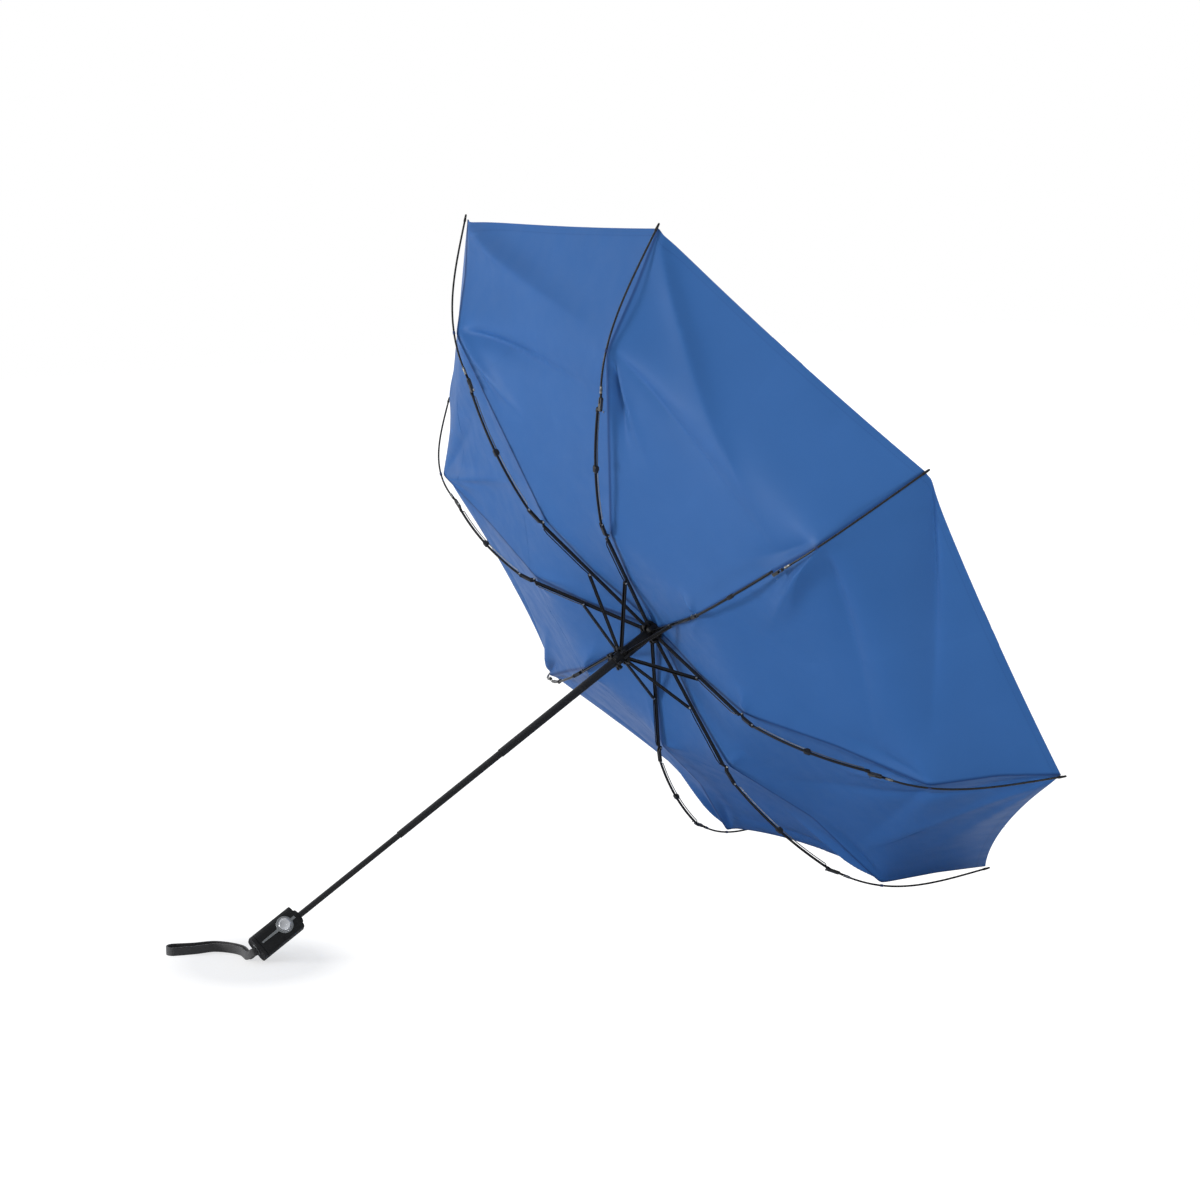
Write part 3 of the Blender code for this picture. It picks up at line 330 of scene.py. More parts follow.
class Finish:
    """A Principled material with short ways to add noise, bump and mixes."""

    def __init__(self, name, colour, roughness, metallic=0.0):
        self.material = bpy.data.materials.new(name)
        self.material.use_nodes = True
        self.tree = self.material.node_tree
        self.shader = self.tree.nodes["Principled BSDF"]
        self.colour = (*colour, 1)
        self.set("Base Color", self.colour)
        self.set("Roughness", roughness)
        self.set("Metallic", metallic)
        self.place = self.node("ShaderNodeTexCoord").outputs["Object"]

    def set(self, name, value):
        feed(self.tree, self.shader.inputs[name], value)

    def node(self, kind, inputs=None, **settings):
        return add_node(self.tree, kind, inputs, **settings)

    def noise(self, scale, detail=3.0, place=None):
        inputs = {"Scale": scale, "Detail": detail, "Vector": place or self.place}
        return self.node("ShaderNodeTexNoise", inputs).outputs["Fac"]

    def spread(self, output, *ranges):
        return map_range(self.tree, output, *ranges)

    def mix(self, factor, first, second):
        inputs = {0: factor, 6: first, 7: second}
        return self.node("ShaderNodeMix", inputs, data_type='RGBA').outputs[2]

    def maths(self, operation, *values):
        inputs = dict(enumerate(values))
        return self.node("ShaderNodeMath", inputs, operation=operation).outputs[0]

    def attribute(self, name, output="Fac"):
        return self.node("ShaderNodeAttribute", attribute_name=name).outputs[output]

    def bump(self, height, strength, distance):
        inputs = {"Strength": strength, "Distance": distance, "Height": height}
        normal = self.shader.inputs["Normal"]
        if normal.links:
            inputs["Normal"] = normal.links[0].from_socket
        self.set("Normal", self.node("ShaderNodeBump", inputs).outputs["Normal"])

    def mottle(self, share, scale):
        """A slight change of colour over the surface."""
        dark, light = (tuple(c * (1 + sign * share) for c in self.colour[:3]) + (1,)
                       for sign in (-1, 1))
        self.set("Base Color", self.mix(self.spread(self.noise(scale), 0.0, 1.0), dark, light))

    def worn_and_lit_edges(self, colour, amount):
        """Lighter edges where the surface is convex, partly rubbed and partly a painted highlight."""
        point = self.node("ShaderNodeNewGeometry").outputs["Pointiness"]
        edge = self.spread(point, 0.0, amount, 0.52, 0.62)
        broken = self.maths('MULTIPLY', edge, self.spread(self.noise(900), 0.2, 1.0))
        self.set("Base Color", self.mix(broken, self.colour, (*colour, 1)))


def plain(name, colour, roughness, bumps, gloss=None, metallic=0.0, specular=0.5, spots=None,
          edges=None):
    """A finish of one colour.

    Bumps are noise scale, detail, strength and millimetres, gloss is noise scale, detail and
    roughness from and to, spots are share and scale, and edges are colour and amount of lighter
    convex edges, partly rubbed and partly a painted highlight.
    """
    finish = Finish(name, colour, roughness, metallic)
    finish.set("Specular IOR Level", specular)
    if gloss:
        finish.set("Roughness", finish.spread(finish.noise(*gloss[:2]), *gloss[2:]))
    finish.bump(finish.noise(*bumps[:2]), bumps[2], bumps[3] * MM)
    if spots:
        finish.mottle(*spots)
    # Lighter convex edges, partly rubbed and partly a painted highlight
    if edges:
        finish.worn_and_lit_edges(*edges)
    return finish.material


def brushed_button():
    """Silver plastic with fine rings about the button's own axis."""
    finish = Finish("silver_button", (0.58, 0.59, 0.61), 0.3, 0.85)
    low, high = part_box("release_button")
    turn = Vector(JOINTS["button_press"]["axis"]).to_track_quat('Z', 'Y').inverted()
    place = finish.node("ShaderNodeMapping", {
        "Vector": finish.place, "Rotation": turn.to_euler(),
        "Location": -(turn @ ((low + high) / 2))}).outputs["Vector"]
    rings = finish.node("ShaderNodeTexWave", {
        "Vector": place, "Scale": 900, "Distortion": 1.5, "Detail": 3},
        wave_type='RINGS', rings_direction='Z').outputs["Fac"]
    finish.set("Roughness", finish.spread(rings, 0.24, 0.36, 0, 1))
    finish.bump(rings, 0.12, 0.03 * MM)
    return finish.material


def weave(finish, place, pitch):
    """Threads over and under each other: two sets of waves at right angles."""
    inputs = {"Vector": place, "Scale": math.pi / (10 * pitch), "Distortion": 0.6, "Detail": 1.0}
    return finish.maths('MULTIPLY', *(
        finish.node("ShaderNodeTexWave", inputs, bands_direction=direction).outputs["Fac"]
        for direction in ('X', 'Y')))


CLOTH_PITCH = 0.35 * MM
WEBBING_PITCH = 0.7 * MM
# Distances over which the painted shade along the seams fades out
SEAM_SHADE_FADE = (0.9 * MM, 3.4 * MM)
HEM_WIDTH = 7.0 * MM
HEM_FADE = 0.4 * MM
STITCH_INSET = 1.2 * MM
STITCH_FADE = (0.2 * MM, 0.4 * MM)
STITCH_PITCH = 2.6 * MM
# Dark blue for the hem's turned-in band and its stitches, and for the painted shade along the seams
HEM_STITCH_AND_SEAM_SHADE = (0.008, 0.036, 0.14, 1)


def pongee():
    """Thin closely woven polyester, with its hem and its rib seams; the dark band along each seam is
    partly the doubled cloth of the seam allowance and partly painted shade of the rib and the seam's
    valley.
    """
    finish = Finish("blue_pongee", (0.029, 0.108, 0.310), 0.5)
    cloth = finish.attribute("cloth", "Vector")
    threads = weave(finish, cloth, CLOTH_PITCH)
    broad = finish.spread(finish.noise(9, 2, cloth), 0.0, 1.0)
    base = finish.mix(broad, (0.027, 0.103, 0.298, 1), (0.031, 0.112, 0.320, 1))
    flecks = finish.spread(threads, 0.0, 0.35, 0.0, 1.0)
    base = finish.mix(flecks, base, (0.042, 0.130, 0.36, 1))
    # Painted shade: a dark band along each rib seam for the rib's contact shadow and the seam's
    # valley, with the seam allowance's doubled cloth
    seam = finish.spread(finish.attribute("seam"), 1.0, 0.0, *SEAM_SHADE_FADE)
    base = finish.mix(finish.maths('MULTIPLY', seam, 0.75), base, HEM_STITCH_AND_SEAM_SHADE)
    hem = finish.attribute("hem")
    turned_in = finish.spread(hem, 0.05, 0.0, HEM_WIDTH, HEM_WIDTH + HEM_FADE)
    base = finish.mix(turned_in, base, HEM_STITCH_AND_SEAM_SHADE)
    off_line = finish.maths('ABSOLUTE', finish.maths('SUBTRACT', hem, HEM_WIDTH - STITCH_INSET))
    line = finish.spread(off_line, 1.0, 0.0, *STITCH_FADE)
    across = finish.node("ShaderNodeSeparateXYZ", {0: cloth}).outputs[0]
    step = finish.maths('FRACT', finish.maths('DIVIDE', across, STITCH_PITCH))
    stitch = finish.maths('MULTIPLY', line, finish.spread(step, 0.0, 1.0, 0.2, 0.3))
    base = finish.mix(finish.maths('MULTIPLY', stitch, 0.25), base, HEM_STITCH_AND_SEAM_SHADE)
    finish.set("Base Color", base)
    finish.set("Roughness", finish.spread(finish.noise(40, 2, cloth), 0.44, 0.56))
    finish.bump(threads, 0.2, 0.05 * MM)
    finish.bump(finish.maths('ADD', turned_in, stitch), 0.2, 0.1 * MM)
    finish.set("Specular IOR Level", 0.16)
    finish.set("Specular Tint", (0.85, 0.93, 1.0, 1.0))
    return finish.material


def webbing():
    finish = Finish("black_webbing", (0.014, 0.014, 0.015), 0.75)
    threads = weave(finish, finish.attribute("cloth", "Vector"), WEBBING_PITCH)
    finish.set("Base Color", finish.mix(finish.spread(threads, 0.0, 1.0, 0.0, 1.0),
                                        (0.010, 0.010, 0.011, 1), (0.035, 0.035, 0.037, 1)))
    finish.bump(threads, 0.6, 0.25 * MM)
    finish.set("Sheen Weight", 0.3)
    return finish.material


MATERIALS = {
    "rubber": plain("grip_rubber", (0.009, 0.0095, 0.010), 0.6, (2600, 2, 0.35, 0.08),
                    (350, 3, 0.5, 0.72), specular=0.16, spots=(0.25, 60)),
    "moulded": plain("black_plastic", (0.006, 0.006, 0.0065), 0.4, (3200, 2, 0.15, 0.05),
                     (500, 3, 0.34, 0.5), specular=0.16, edges=((0.05, 0.05, 0.052), 0.6)),
    "coated": plain("black_coated_steel", (0.005, 0.005, 0.0055), 0.34, (1500, 3, 0.08, 0.05),
                    (420, 4, 0.26, 0.4), specular=0.16, edges=((0.07, 0.07, 0.072), 0.35)),
    "fibre": plain("black_glass_fibre", (0.010, 0.0095, 0.009), 0.3, (2400, 2, 0.1, 0.05),
                   (700, 4, 0.22, 0.4), specular=0.25, spots=(0.3, 250)),
    "bright": plain("bright_steel", (0.40, 0.40, 0.39), 0.3, (2000, 3, 0.08, 0.04),
                    (900, 4, 0.24, 0.42), metallic=1.0, spots=(0.08, 400)),
    "bezel": plain("grey_bezel", (0.15, 0.16, 0.165), 0.36, (3000, 2, 0.08, 0.04),
                   (700, 3, 0.3, 0.42), spots=(0.08, 200)),
    "button": brushed_button(), "pongee": pongee(), "webbing": webbing(),
    "thread": plain("blue_thread", (0.012, 0.035, 0.13), 0.7, (2500, 2, 0.4, 0.1),
                    spots=(0.2, 800)),
    "dull": plain("dull_steel", (0.17, 0.168, 0.16), 0.4, (2000, 3, 0.08, 0.04),
                  (900, 4, 0.32, 0.5), metallic=1.0, spots=(0.15, 400)),
    "joint": plain("glossy_joint", (0.014, 0.0135, 0.012), 0.3, (2600, 2, 0.12, 0.05),
                   (600, 3, 0.24, 0.38), specular=0.55, edges=((0.12, 0.115, 0.10), 0.5)),
}


def dress_frame():
    """Gives every node of the frame its finish."""
    kinds = {
        "handle_shell": "rubber", "handle_end_cap": "moulded", "button_bezel": "bezel",
        "release_button": "button", "tube": "coated", "crown": "moulded", "runner": "moulded",
        "top_cap": "moulded", "top_rib": "coated", "stretcher": "coated", "knuckle": "moulded",
        "middle_rib": "coated", "rib_socket": "joint", "outer_rib": "fibre",
        "canopy": "pongee", "wrist_strap": "webbing",
    }
    for name, node in frame["nodes"].items():
        kind = name if name in kinds else name.rsplit("_", 1)[0]
        node.data.materials.clear()
        node.data.materials.append(MATERIALS[kinds[kind]])


# Canopy: one surface, a height over the plane across the shaft

CLOTH_THICKNESS = 0.25 * MM
HOLE_RADIUS = 9.0 * MM
TIP_REACH = 522.0 * MM
CLOTH_TURN = math.atan2(SOCKET_OFFSET, TIP_REACH)
OVER_TOP_RIB = 3.4 * MM
OVER_RIB = 6.2 * MM
OVER_TIE = 2.3 * MM
OVER_TIP = 1.8 * MM
HALF = math.pi / RIB_COUNT
SEAM_ROUND = 2.6 * MM
PANEL_ROUND = 26.0 * MM
SEAM_RAISE = per_rib(14, 10, 3, 3, 0, 0, 3, 5)
SEAM_BOW = per_rib(4, 4, 5, 5, 5, 4, 4, 9)
SEAM_START = in_mm([(HOLE_RADIUS / MM, 7.7), (21.0, 7.3)])
CORNER_INSET = 5.6 * MM
BILLOW = 6.0 * MM
HEM_HOLLOW = per_rib(3, 3, 3, 3, 2, 3, 3, 13)


def seam_profile(k):
    """The corners (r, z) of the seam over rib k, from the top cap to the tip."""
    top = heading(TOP_RIB_SLOPE)
    side = canopy_side(TOP_RIB_SLOPE)
    start = in_plane(k, "top_rib")
    length = (in_plane(k, "knuckle") - start) @ top
    outer = outer_member(k)
    along = heading(outer.slope)
    outward = canopy_side(outer.slope)
    tie = outer_rod_point(TIE_SHARE)
    knuckle = start + length * top + OVER_RIB * side
    tie_at = outer.start + tie[0] * along + (tie[1] + OVER_TIE) * outward
    tip_at = outer.start + (OUTER_RIB_LENGTH - CORNER_INSET) * along + OVER_TIP * outward
    middle = (knuckle + tie_at) / 2 + np.array([0, SEAM_RAISE[k]])
    bowed = (tie_at + tip_at) / 2 + np.array([0, SEAM_BOW[k]])
    return np.array([*SEAM_START, start + 0.5 * length * top + OVER_TOP_RIB * side,
                     knuckle, middle, tie_at, bowed, tip_at])


PROFILES = {k: seam_profile(k) for k in range(1, RIB_COUNT + 1)}


def profile_height(k, r, rounding):
    """The seam's height at radius r, with its corners rounded."""
    corners = PROFILES[k]
    slopes = np.diff(corners[:, 1]) / np.diff(corners[:, 0])
    height = corners[0, 1] + slopes[0] * (r - corners[0, 0])
    for corner, before, after in zip(corners[1:-1], slopes, slopes[1:]):
        x = r - corner[0]
        own = np.minimum(rounding, 0.8 * corner[0])
        height = height + (after - before) * (x + np.sqrt(x * x + own * own)) / 2
    return height


def hem_lift(k, rounding):
    """How much the rounding of the corners lifts the seam's own end."""
    tip = PROFILES[k][-1]
    return profile_height(k, tip[0], rounding) - tip[1]


CORNERS = {"tip": -1, "tie": -3, "knuckle": 3}


def rib_place(k, name):
    """Radius of a named place of rib k."""
    if name in CORNERS:
        return PROFILES[k][CORNERS[name], 0]
    return in_plane(k, "rib_socket")[0]


def fold_line(k, u, r, fold):
    """One tension fold of the panel between rib k and the next.

    u and r are the share across and the radius of each point. A fold runs between two places,
    each a share across and a named place of the rib or a share of it. A positive height
    stands towards the handle. It has faded out at its reach, a share of the way, and its
    width grows on the way; the lean makes its far flank wider.
    """
    ends = []
    for across_share, name, out_share in fold[:2]:
        rib = k if across_share < 0.5 else k % RIB_COUNT + 1
        far = rib_place(rib, name) * out_share
        ends.append(np.array([far * math.sin(HALF) * (2 * across_share - 1),
                              far * math.cos(HALF)]))
    height, width = fold[2] * MM, fold[3] * MM
    reach, lean = fold[4:]
    run = ends[1] - ends[0]
    length = np.linalg.norm(run)
    run /= length
    flat = r * np.sin(HALF) * (2 * u - 1) - ends[0][0], r * np.cos(HALF) - ends[0][1]
    along = np.clip((flat[0] * run[0] + flat[1] * run[1]) / (length * reach), 0, 1)
    across = flat[1] * run[0] - flat[0] * run[1]
    own = width * (FOLD_START_WIDTH + FOLD_FLARE * along) * np.where(across > 0, 1.0, lean)
    away = np.sqrt(across ** 2 + FOLD_SOFT ** 2) - FOLD_SOFT
    fade = np.sin(math.pi * along ** FOLD_PEAK) ** FOLD_FADE
    return -height * fade * np.exp(-away / own)


# Folds of every panel, then those that one panel has: two places, height and width in
# millimetres, reach, lean
FOLD_SOFT = 4.0 * MM
FOLD_START_WIDTH = 0.35
FOLD_FLARE = 1.1
FOLD_PEAK = 0.55
FOLD_FADE = 1.2
COMMON_FOLDS = [
    ((0.0, "tip", 1.0), (1.0, "tie", 1.0), 7.0, 8.0, 1.0, 3.0),
    ((0.0, "tie", 1.0), (1.0, "socket", 1.0), -8.0, 15.0, 1.0, 1.4),
    ((0.0, "tie", 1.0), (1.0, "knuckle", 1.0), 7.0, 6.0, 0.5, 1.6),
    ((0.0, "tie", 1.0), (0.45, "knuckle", 0.9), -5.0, 6.0, 0.4, 1.2),
    ((1.0, "tie", 1.0), (0.55, "knuckle", 1.0), -6.0, 8.0, 0.45, 1.5),
    ((0.0, "knuckle", 1.0), (1.0, "knuckle", 0.35), 3.0, 8.0, 0.6, 1.3),
    ((1.0, "knuckle", 1.0), (0.45, "knuckle", 1.1), 4.0, 5.0, 0.5, 1.0),
]
OWN_FOLDS = {
    5: [((0.0, "tip", 1.0), (1.0, "tie", 1.0), 16.0, 9.0, 1.0, 3.4),
        ((0.0, "tie", 1.0), (1.0, "socket", 1.0), -6.0, 13.0, 1.0, 1.2)],
    6: [((0.0, "tip", 1.0), (1.0, "socket", 1.0), 9.0, 6.5, 1.0, 5.0),
        ((0.0, "tie", 1.0), (0.16, "socket", 0.8), -8.0, 11.0, 1.0, 0.6)],
    7: [((0.0, "tip", 1.0), (0.95, "tie", 1.0), -12.0, 5.5, 1.0, 3.0),
        ((0.0, "tie", 1.0), (0.45, "knuckle", 1.25), 13.0, 10.0, 0.8, 2.5)],
    8: [((0.0, "tip", 1.0), (1.0, "socket", 1.0), 7.0, 7.0, 1.0, 1.6),
        ((0.0, "tip", 1.0), (1.0, "knuckle", 1.2), -7.0, 9.0, 1.0, 1.2),
        ((0.0, "tip", 1.0), (1.0, "tip", 0.88), 7.0, 7.0, 1.0, 1.6)],
    1: [((0.0, "tie", 1.0), (1.0, "tip", 0.9), 6.0, 8.0, 1.0, 1.2)],
    4: [((0.0, "tie", 1.0), (1.0, "knuckle", 1.25), 8.0, 6.0, 1.0, 1.0)],
}
OWN_LONG_FOLD = (5, 6, 7)
FOLD_SHARES = {k: RNG.uniform(0.75, 1.3, len(COMMON_FOLDS)) for k in range(1, RIB_COUNT + 1)}
SEAM_GUARD = 7.0 * MM


def panel_folds(k, u, r):
    """All folds of the panel between rib k and the next; none of them moves its seams."""
    height = np.zeros_like(r)
    for fold, share in zip(COMMON_FOLDS, FOLD_SHARES[k]):
        if k in OWN_LONG_FOLD and fold is COMMON_FOLDS[0]:
            continue
        height += share * fold_line(k, u, r, fold)
    for fold in OWN_FOLDS.get(k, ()):
        height += fold_line(k, u, r, fold)
    nearest = 2 * r * math.sin(HALF) * np.minimum(u, 1 - u)
    return height * (1 - np.exp(-(nearest / SEAM_GUARD) ** 2))


def hem_reach(k, size, extra, ahead):
    """How far out along rib k the hem is at one column of the grid."""
    panel = k if ahead else (k - 2) % RIB_COUNT + 1
    x = PROFILES[k][-1, 0]
    for _ in range(HEM_PASSES):
        over = size * x * math.tan(HALF) + HEM_SPARE * extra
        out = x * math.cos(HALF) + over * math.sin(HALF)
        side = over * math.cos(HALF) - x * math.sin(HALF)
        u = (1 + side / (out * math.tan(HALF))) / 2
        x *= hem_radius(panel, u if ahead else 1 - u) * math.cos(HALF) / out
    return x


def hem_radius(k, u):
    after = k % RIB_COUNT + 1
    ends = PROFILES[k][-1, 0], PROFILES[after][-1, 0]
    return ends[0] + (ends[1] - ends[0]) * u - HEM_HOLLOW[k] * 4 * u * (1 - u)


def canopy_height(x, y):
    """The canopy's height over points of the plane across the shaft."""
    turn0 = rib_turn(1) + CLOTH_TURN
    angle = np.mod(np.arctan2(y, x) - turn0, 2 * math.pi)
    index = np.minimum((angle / (2 * HALF)).astype(int), RIB_COUNT - 1)
    middle = turn0 + (2 * index + 1) * HALF
    out = x * np.cos(middle) + y * np.sin(middle)
    over = -x * np.sin(middle) + y * np.cos(middle)
    r = out / math.cos(HALF)
    u = np.clip((1 + over / (out * math.tan(HALF))) / 2, 0, 1)
    arch = 4 * u * (1 - u)
    rounding = SEAM_ROUND + PANEL_ROUND * arch ** 0.7
    height = np.zeros_like(r)
    for k in range(1, RIB_COUNT + 1):
        inside = index == k - 1
        if not inside.any():
            continue
        ri, ui, wi = r[inside], u[inside], rounding[inside]
        after = k % RIB_COUNT + 1
        tip = hem_radius(k, ui)
        share = np.clip(ri / tip, 0, 1)
        low = profile_height(k, ri, wi) - hem_lift(k, wi) * share ** 4
        high = profile_height(after, ri, wi) - hem_lift(after, wi) * share ** 4
        swell = BILLOW * arch[inside] * np.sin(math.pi * share) * share
        height[inside] = low + (high - low) * ui + swell + panel_folds(k, ui, ri)
    return height


SECTIONS = (
    ("inner", "top_rib", None, "middle_rib"),
    ("middle", "middle_rib", "middle_rib", "outer_rib"),
    ("outer", "outer_rib", "outer_rib", None),
)
COLUMNS = 105
SPARE_COLUMNS = 5
ROWS = {"inner": 44, "middle": 46, "outer": 46}
LAP_NEAR = 20.0 * MM
LAP_BACK = 4.0 * MM
LAP_FRONT = 0.15 * MM
LAP_FAR = {"inner": 32.0 * MM, "middle": 40.0 * MM}
LAP_RAISE = 1.0 * MM
HEM_SPARE = 24.0 * MM
SPARES = {"inner": 0.0, "middle": 22.0 * MM, "outer": HEM_SPARE}
SPARE_START = 0.5
HEM_PASSES = 6
NO_HEM = 1.0
SLOPE_STEP = 0.5 * MM


def column_places(spare):
    """Signed shares of the way from the rib to the panel's middle, then of the spare past it."""
    t = np.linspace(-1, 1, COLUMNS)
    places = [(share, 0.0) for share in t * (0.5 + 0.5 * np.abs(t))]
    if spare:
        past = [(i + 1) / SPARE_COLUMNS for i in range(SPARE_COLUMNS)]
        places = [(-1.0, e) for e in past[::-1]] + places + [(1.0, e) for e in past]
    return places


def section_grid(k, name, start, end):
    """Places (x, y) in the plane of rib k over one section.

    Also how far each stands off the canopy's surface, and how far it is from the hem. What
    laps behind a neighbour stands off to the far side, and a section's first rows stand a
    little in front of the lap that they cover.
    """
    slope = math.tan(HALF) ** 2
    x_in = in_plane(k, start)[0] if start else None
    x_out = in_plane(k, end)[0] if end else None
    places = column_places(SPARES[name])
    reach = [0 if end else hem_reach(k, abs(a), extra, a > 0) for a, extra in places]
    grid = []
    lift = []
    to_hem = []
    for i in range(ROWS[name]):
        share = i / (ROWS[name] - 1)
        row = []
        row_lift = []
        row_hem = []
        for (a, extra), hem in zip(places, reach):
            size = abs(a)
            near = x_in - LAP_BACK if start else HOLE_RADIUS / (1 + size * slope)
            if end:
                far = x_out + LAP_NEAR + (LAP_FAR[name] - LAP_NEAR) * size
            else:
                far = hem
            x = near + (far - near) * share
            spare = SPARES[name] * (SPARE_START + (1 - SPARE_START) * share) * extra
            over = size * x * math.tan(HALF) + spare
            row.append((x, math.copysign(over, a)))
            past = max(x - x_out if end else 0.0, over * math.cos(HALF) - x * math.sin(HALF))
            behind = LAP_RAISE * min(max(past / LAP_RAISE, 0.0), 1.0)
            before = (x_in + LAP_BACK - x) / (2 * LAP_BACK) if start else 0.0
            row_lift.append(behind - LAP_FRONT * min(max(before, 0.0), 1.0))
            row_hem.append(NO_HEM if end else far - x)
        grid.append(row)
        lift.append(row_lift)
        to_hem.append(row_hem)
    return np.array(grid), np.array(lift), np.array(to_hem)


def cloth_solid(name, points, normals, cloth, seam, hem):
    """A thin closed sheet on a grid of points, with its own smooth normals."""
    rows, columns = points.shape[:2]
    half = CLOTH_THICKNESS / 2
    front = points - normals * half
    back = points + normals * half
    both = np.concatenate([front.reshape(-1, 3), back.reshape(-1, 3)])
    index = np.arange(rows * columns).reshape(rows, columns)
    a, b = index[:-1, :-1], index[1:, :-1]
    c, d = index[1:, 1:], index[:-1, 1:]
    quads = np.stack([a, d, c, b], -1).reshape(-1, 4)
    shift = rows * columns
    sheet_faces = np.concatenate([quads, quads[:, ::-1] + shift])
    edge = np.concatenate([index[0, :], index[1:, -1], index[-1, -2::-1], index[-2:0:-1, 0]])
    after = np.roll(edge, -1)
    rim = np.stack([edge, edge + shift, after + shift, after], 1)
    faces = np.concatenate([sheet_faces, rim])
    mesh = bpy.data.meshes.new(name)
    mesh.vertices.add(len(both))
    mesh.vertices.foreach_set("co", both.ravel())
    mesh.loops.add(len(faces) * 4)
    mesh.loops.foreach_set("vertex_index", faces.ravel())
    mesh.polygons.add(len(faces))
    mesh.polygons.foreach_set("loop_start", np.arange(len(faces)) * 4)
    mesh.update(calc_edges=True)
    for label, kind, values in (("cloth", 'FLOAT_VECTOR', cloth), ("seam", 'FLOAT', seam),
                                ("hem", 'FLOAT', hem)):
        layer = mesh.attributes.new(label, kind, 'POINT')
        twice = np.concatenate([values.reshape(shift, -1)] * 2)
        layer.data.foreach_set("vector" if kind == 'FLOAT_VECTOR' else "value", twice.ravel())
    mesh.shade_smooth()
    flat = normals.reshape(-1, 3)
    mesh.normals_split_custom_set_from_vertices(np.concatenate([-flat, flat]))
    mesh.materials.append(MATERIALS["pongee"])
    return linked(name, mesh)


def make_section(k, name, body, start, end):
    turn = rib_turn(k) + CLOTH_TURN
    cos, sin = math.cos(turn), math.sin(turn)
    local, lift, hem = section_grid(k, name, start, end)
    x = local[..., 0] * cos - local[..., 1] * sin
    y = local[..., 0] * sin + local[..., 1] * cos
    step = SLOPE_STEP
    flat_x, flat_y = x.ravel(), y.ravel()
    z = canopy_height(flat_x, flat_y)
    slope_x = (canopy_height(flat_x + step, flat_y) - canopy_height(flat_x - step, flat_y))
    slope_y = (canopy_height(flat_x, flat_y + step) - canopy_height(flat_x, flat_y - step))
    normals = np.stack([-slope_x / (2 * step), -slope_y / (2 * step), np.ones_like(z)], 1)
    normals /= np.linalg.norm(normals, axis=1)[:, None]
    points = np.stack([flat_x, flat_y, z], 1) + normals * lift.ravel()[:, None]
    shape = (*x.shape, 3)
    world = to_world(points).reshape(shape)
    facing = (normals @ SHAFT).reshape(shape)
    cloth = np.stack([local[..., 1], local[..., 0], np.zeros_like(x)], -1)
    obj = cloth_solid(f"canopy_{name}_{k}", world, facing, cloth, np.abs(local[..., 1]), hem)
    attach(obj, f"{body}_{k}")
    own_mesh(obj)
    return obj


def build_canopy():
    first = None
    for k in range(1, RIB_COUNT + 1):
        for name, body, start, end in SECTIONS:
            obj = make_section(k, name, body, start, end)
            first = first or obj
    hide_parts("canopy")


# Fine ribs; each profile is along and radius

OUTER_ROD_RADIUS = 1.15 * MM
MIDDLE_ROD_RADIUS = 1.5 * MM
PULL_WIRE_RADIUS = 0.6 * MM
PULL_WIRE_RISE = 3.0 * MM
PULL_WIRE_END_RISE = 0.5 * MM
ROD_STEPS = 48
ROD_START = 0.03
WIRE_STEPS = 40
TONGUE_RADIUS = 1.3 * MM
TONGUE_SHARE = 0.045
OUTER_TONGUE = 1.2 * MM
MIDDLE_TONGUE = 1.6 * MM
EYE_RADIUS = 1.6 * MM
EYE_WIDTH = 2.6 * MM
FERRULE_RUN = 0.07
TIP_RUN = 0.045
TIE_RUN = 0.02
WIRE_SHARES = (0.2, 0.35, 0.5, 0.65, 0.8)
PIN = in_mm([(0, 0.8), (3.0, 0.8)])
FERRULE = in_mm([(0, 1.36), (0.3, 1.7), (2.0, 1.7), (2.4, 1.462), (3.2, 1.462), (3.6, 1.7),
                 (8.0, 1.7), (9.0, 1.275)])
TIP_CUP = in_mm([(-0.6, 0.4), (0, 0.9), (0.8, 1.2), (7.5, 1.6), (9.0, 1.4)])
WRAP = in_mm([(0, 1.2), (0.25, 1.6), (0.65, 1.6), (0.9, 1.2)])
WRAP_COUNT = 4
RIVET = in_mm([(0, 1.3), (0.135, 1.261), (0.3375, 0.91), (0.45, 0.325)])
WIRE_GUIDE = in_mm([(2.5, 0, 2.2, 4.4), (1.5, 2.6, 1.5, 3.0)])
FORK_SIDE = 2.15 * MM
SOCKET_SIDE = 5.65 * MM


def add_piece(name, shape, material, body, replaces=()):
    obj = make_object(name, *shape, MATERIALS[material])
    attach(obj, body)
    if replaces:
        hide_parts(*replaces)
    return obj


def axis_between(a, b):
    run = np.array(b) - np.array(a)
    return run / np.linalg.norm(run)


def build_outer_rib(k):
    member = outer_member(k)
    body = f"outer_rib_{k}"

    def place_and_run(share, onward):
        """A point of the rod and the direction to another one."""
        start = member.point(outer_rod_point(share))
        return start, axis_between(start, member.point(outer_rod_point(onward)))

    rod = sweep(member.world(outer_rod_point(np.linspace(ROD_START, 1.0, ROD_STEPS))),
                OUTER_ROD_RADIUS)
    tongue = link_plate(member, ((0, 0), outer_rod_point(TONGUE_SHARE)), TONGUE_RADIUS, OUTER_TONGUE)
    pin_start, pin_end = (member.point((0, 0), side * PIN[-1][0] / 2) for side in (-1, 1))
    pin = turned(pin_start, axis_between(pin_start, pin_end), PIN, 12)
    add_piece(f"outer_rod_{k}", joined(rod, tongue, pin), "fibre", body, [body])
    ferrule = turned(*place_and_run(ROD_START, ROD_START + FERRULE_RUN), FERRULE)
    add_piece(f"ferrule_{k}", ferrule, "dull", body)
    add_piece(f"tip_cup_{k}", turned(*place_and_run(1.0, 1.0 - TIP_RUN), TIP_CUP), "coated", body)
    tie_at, run = place_and_run(TIE_SHARE, TIE_SHARE + TIE_RUN)
    wraps = [turned(tie_at + run * i * WRAP[-1][0], run, WRAP) for i in range(WRAP_COUNT)]
    add_piece(f"seam_tie_{k}", joined(*wraps), "thread", body)


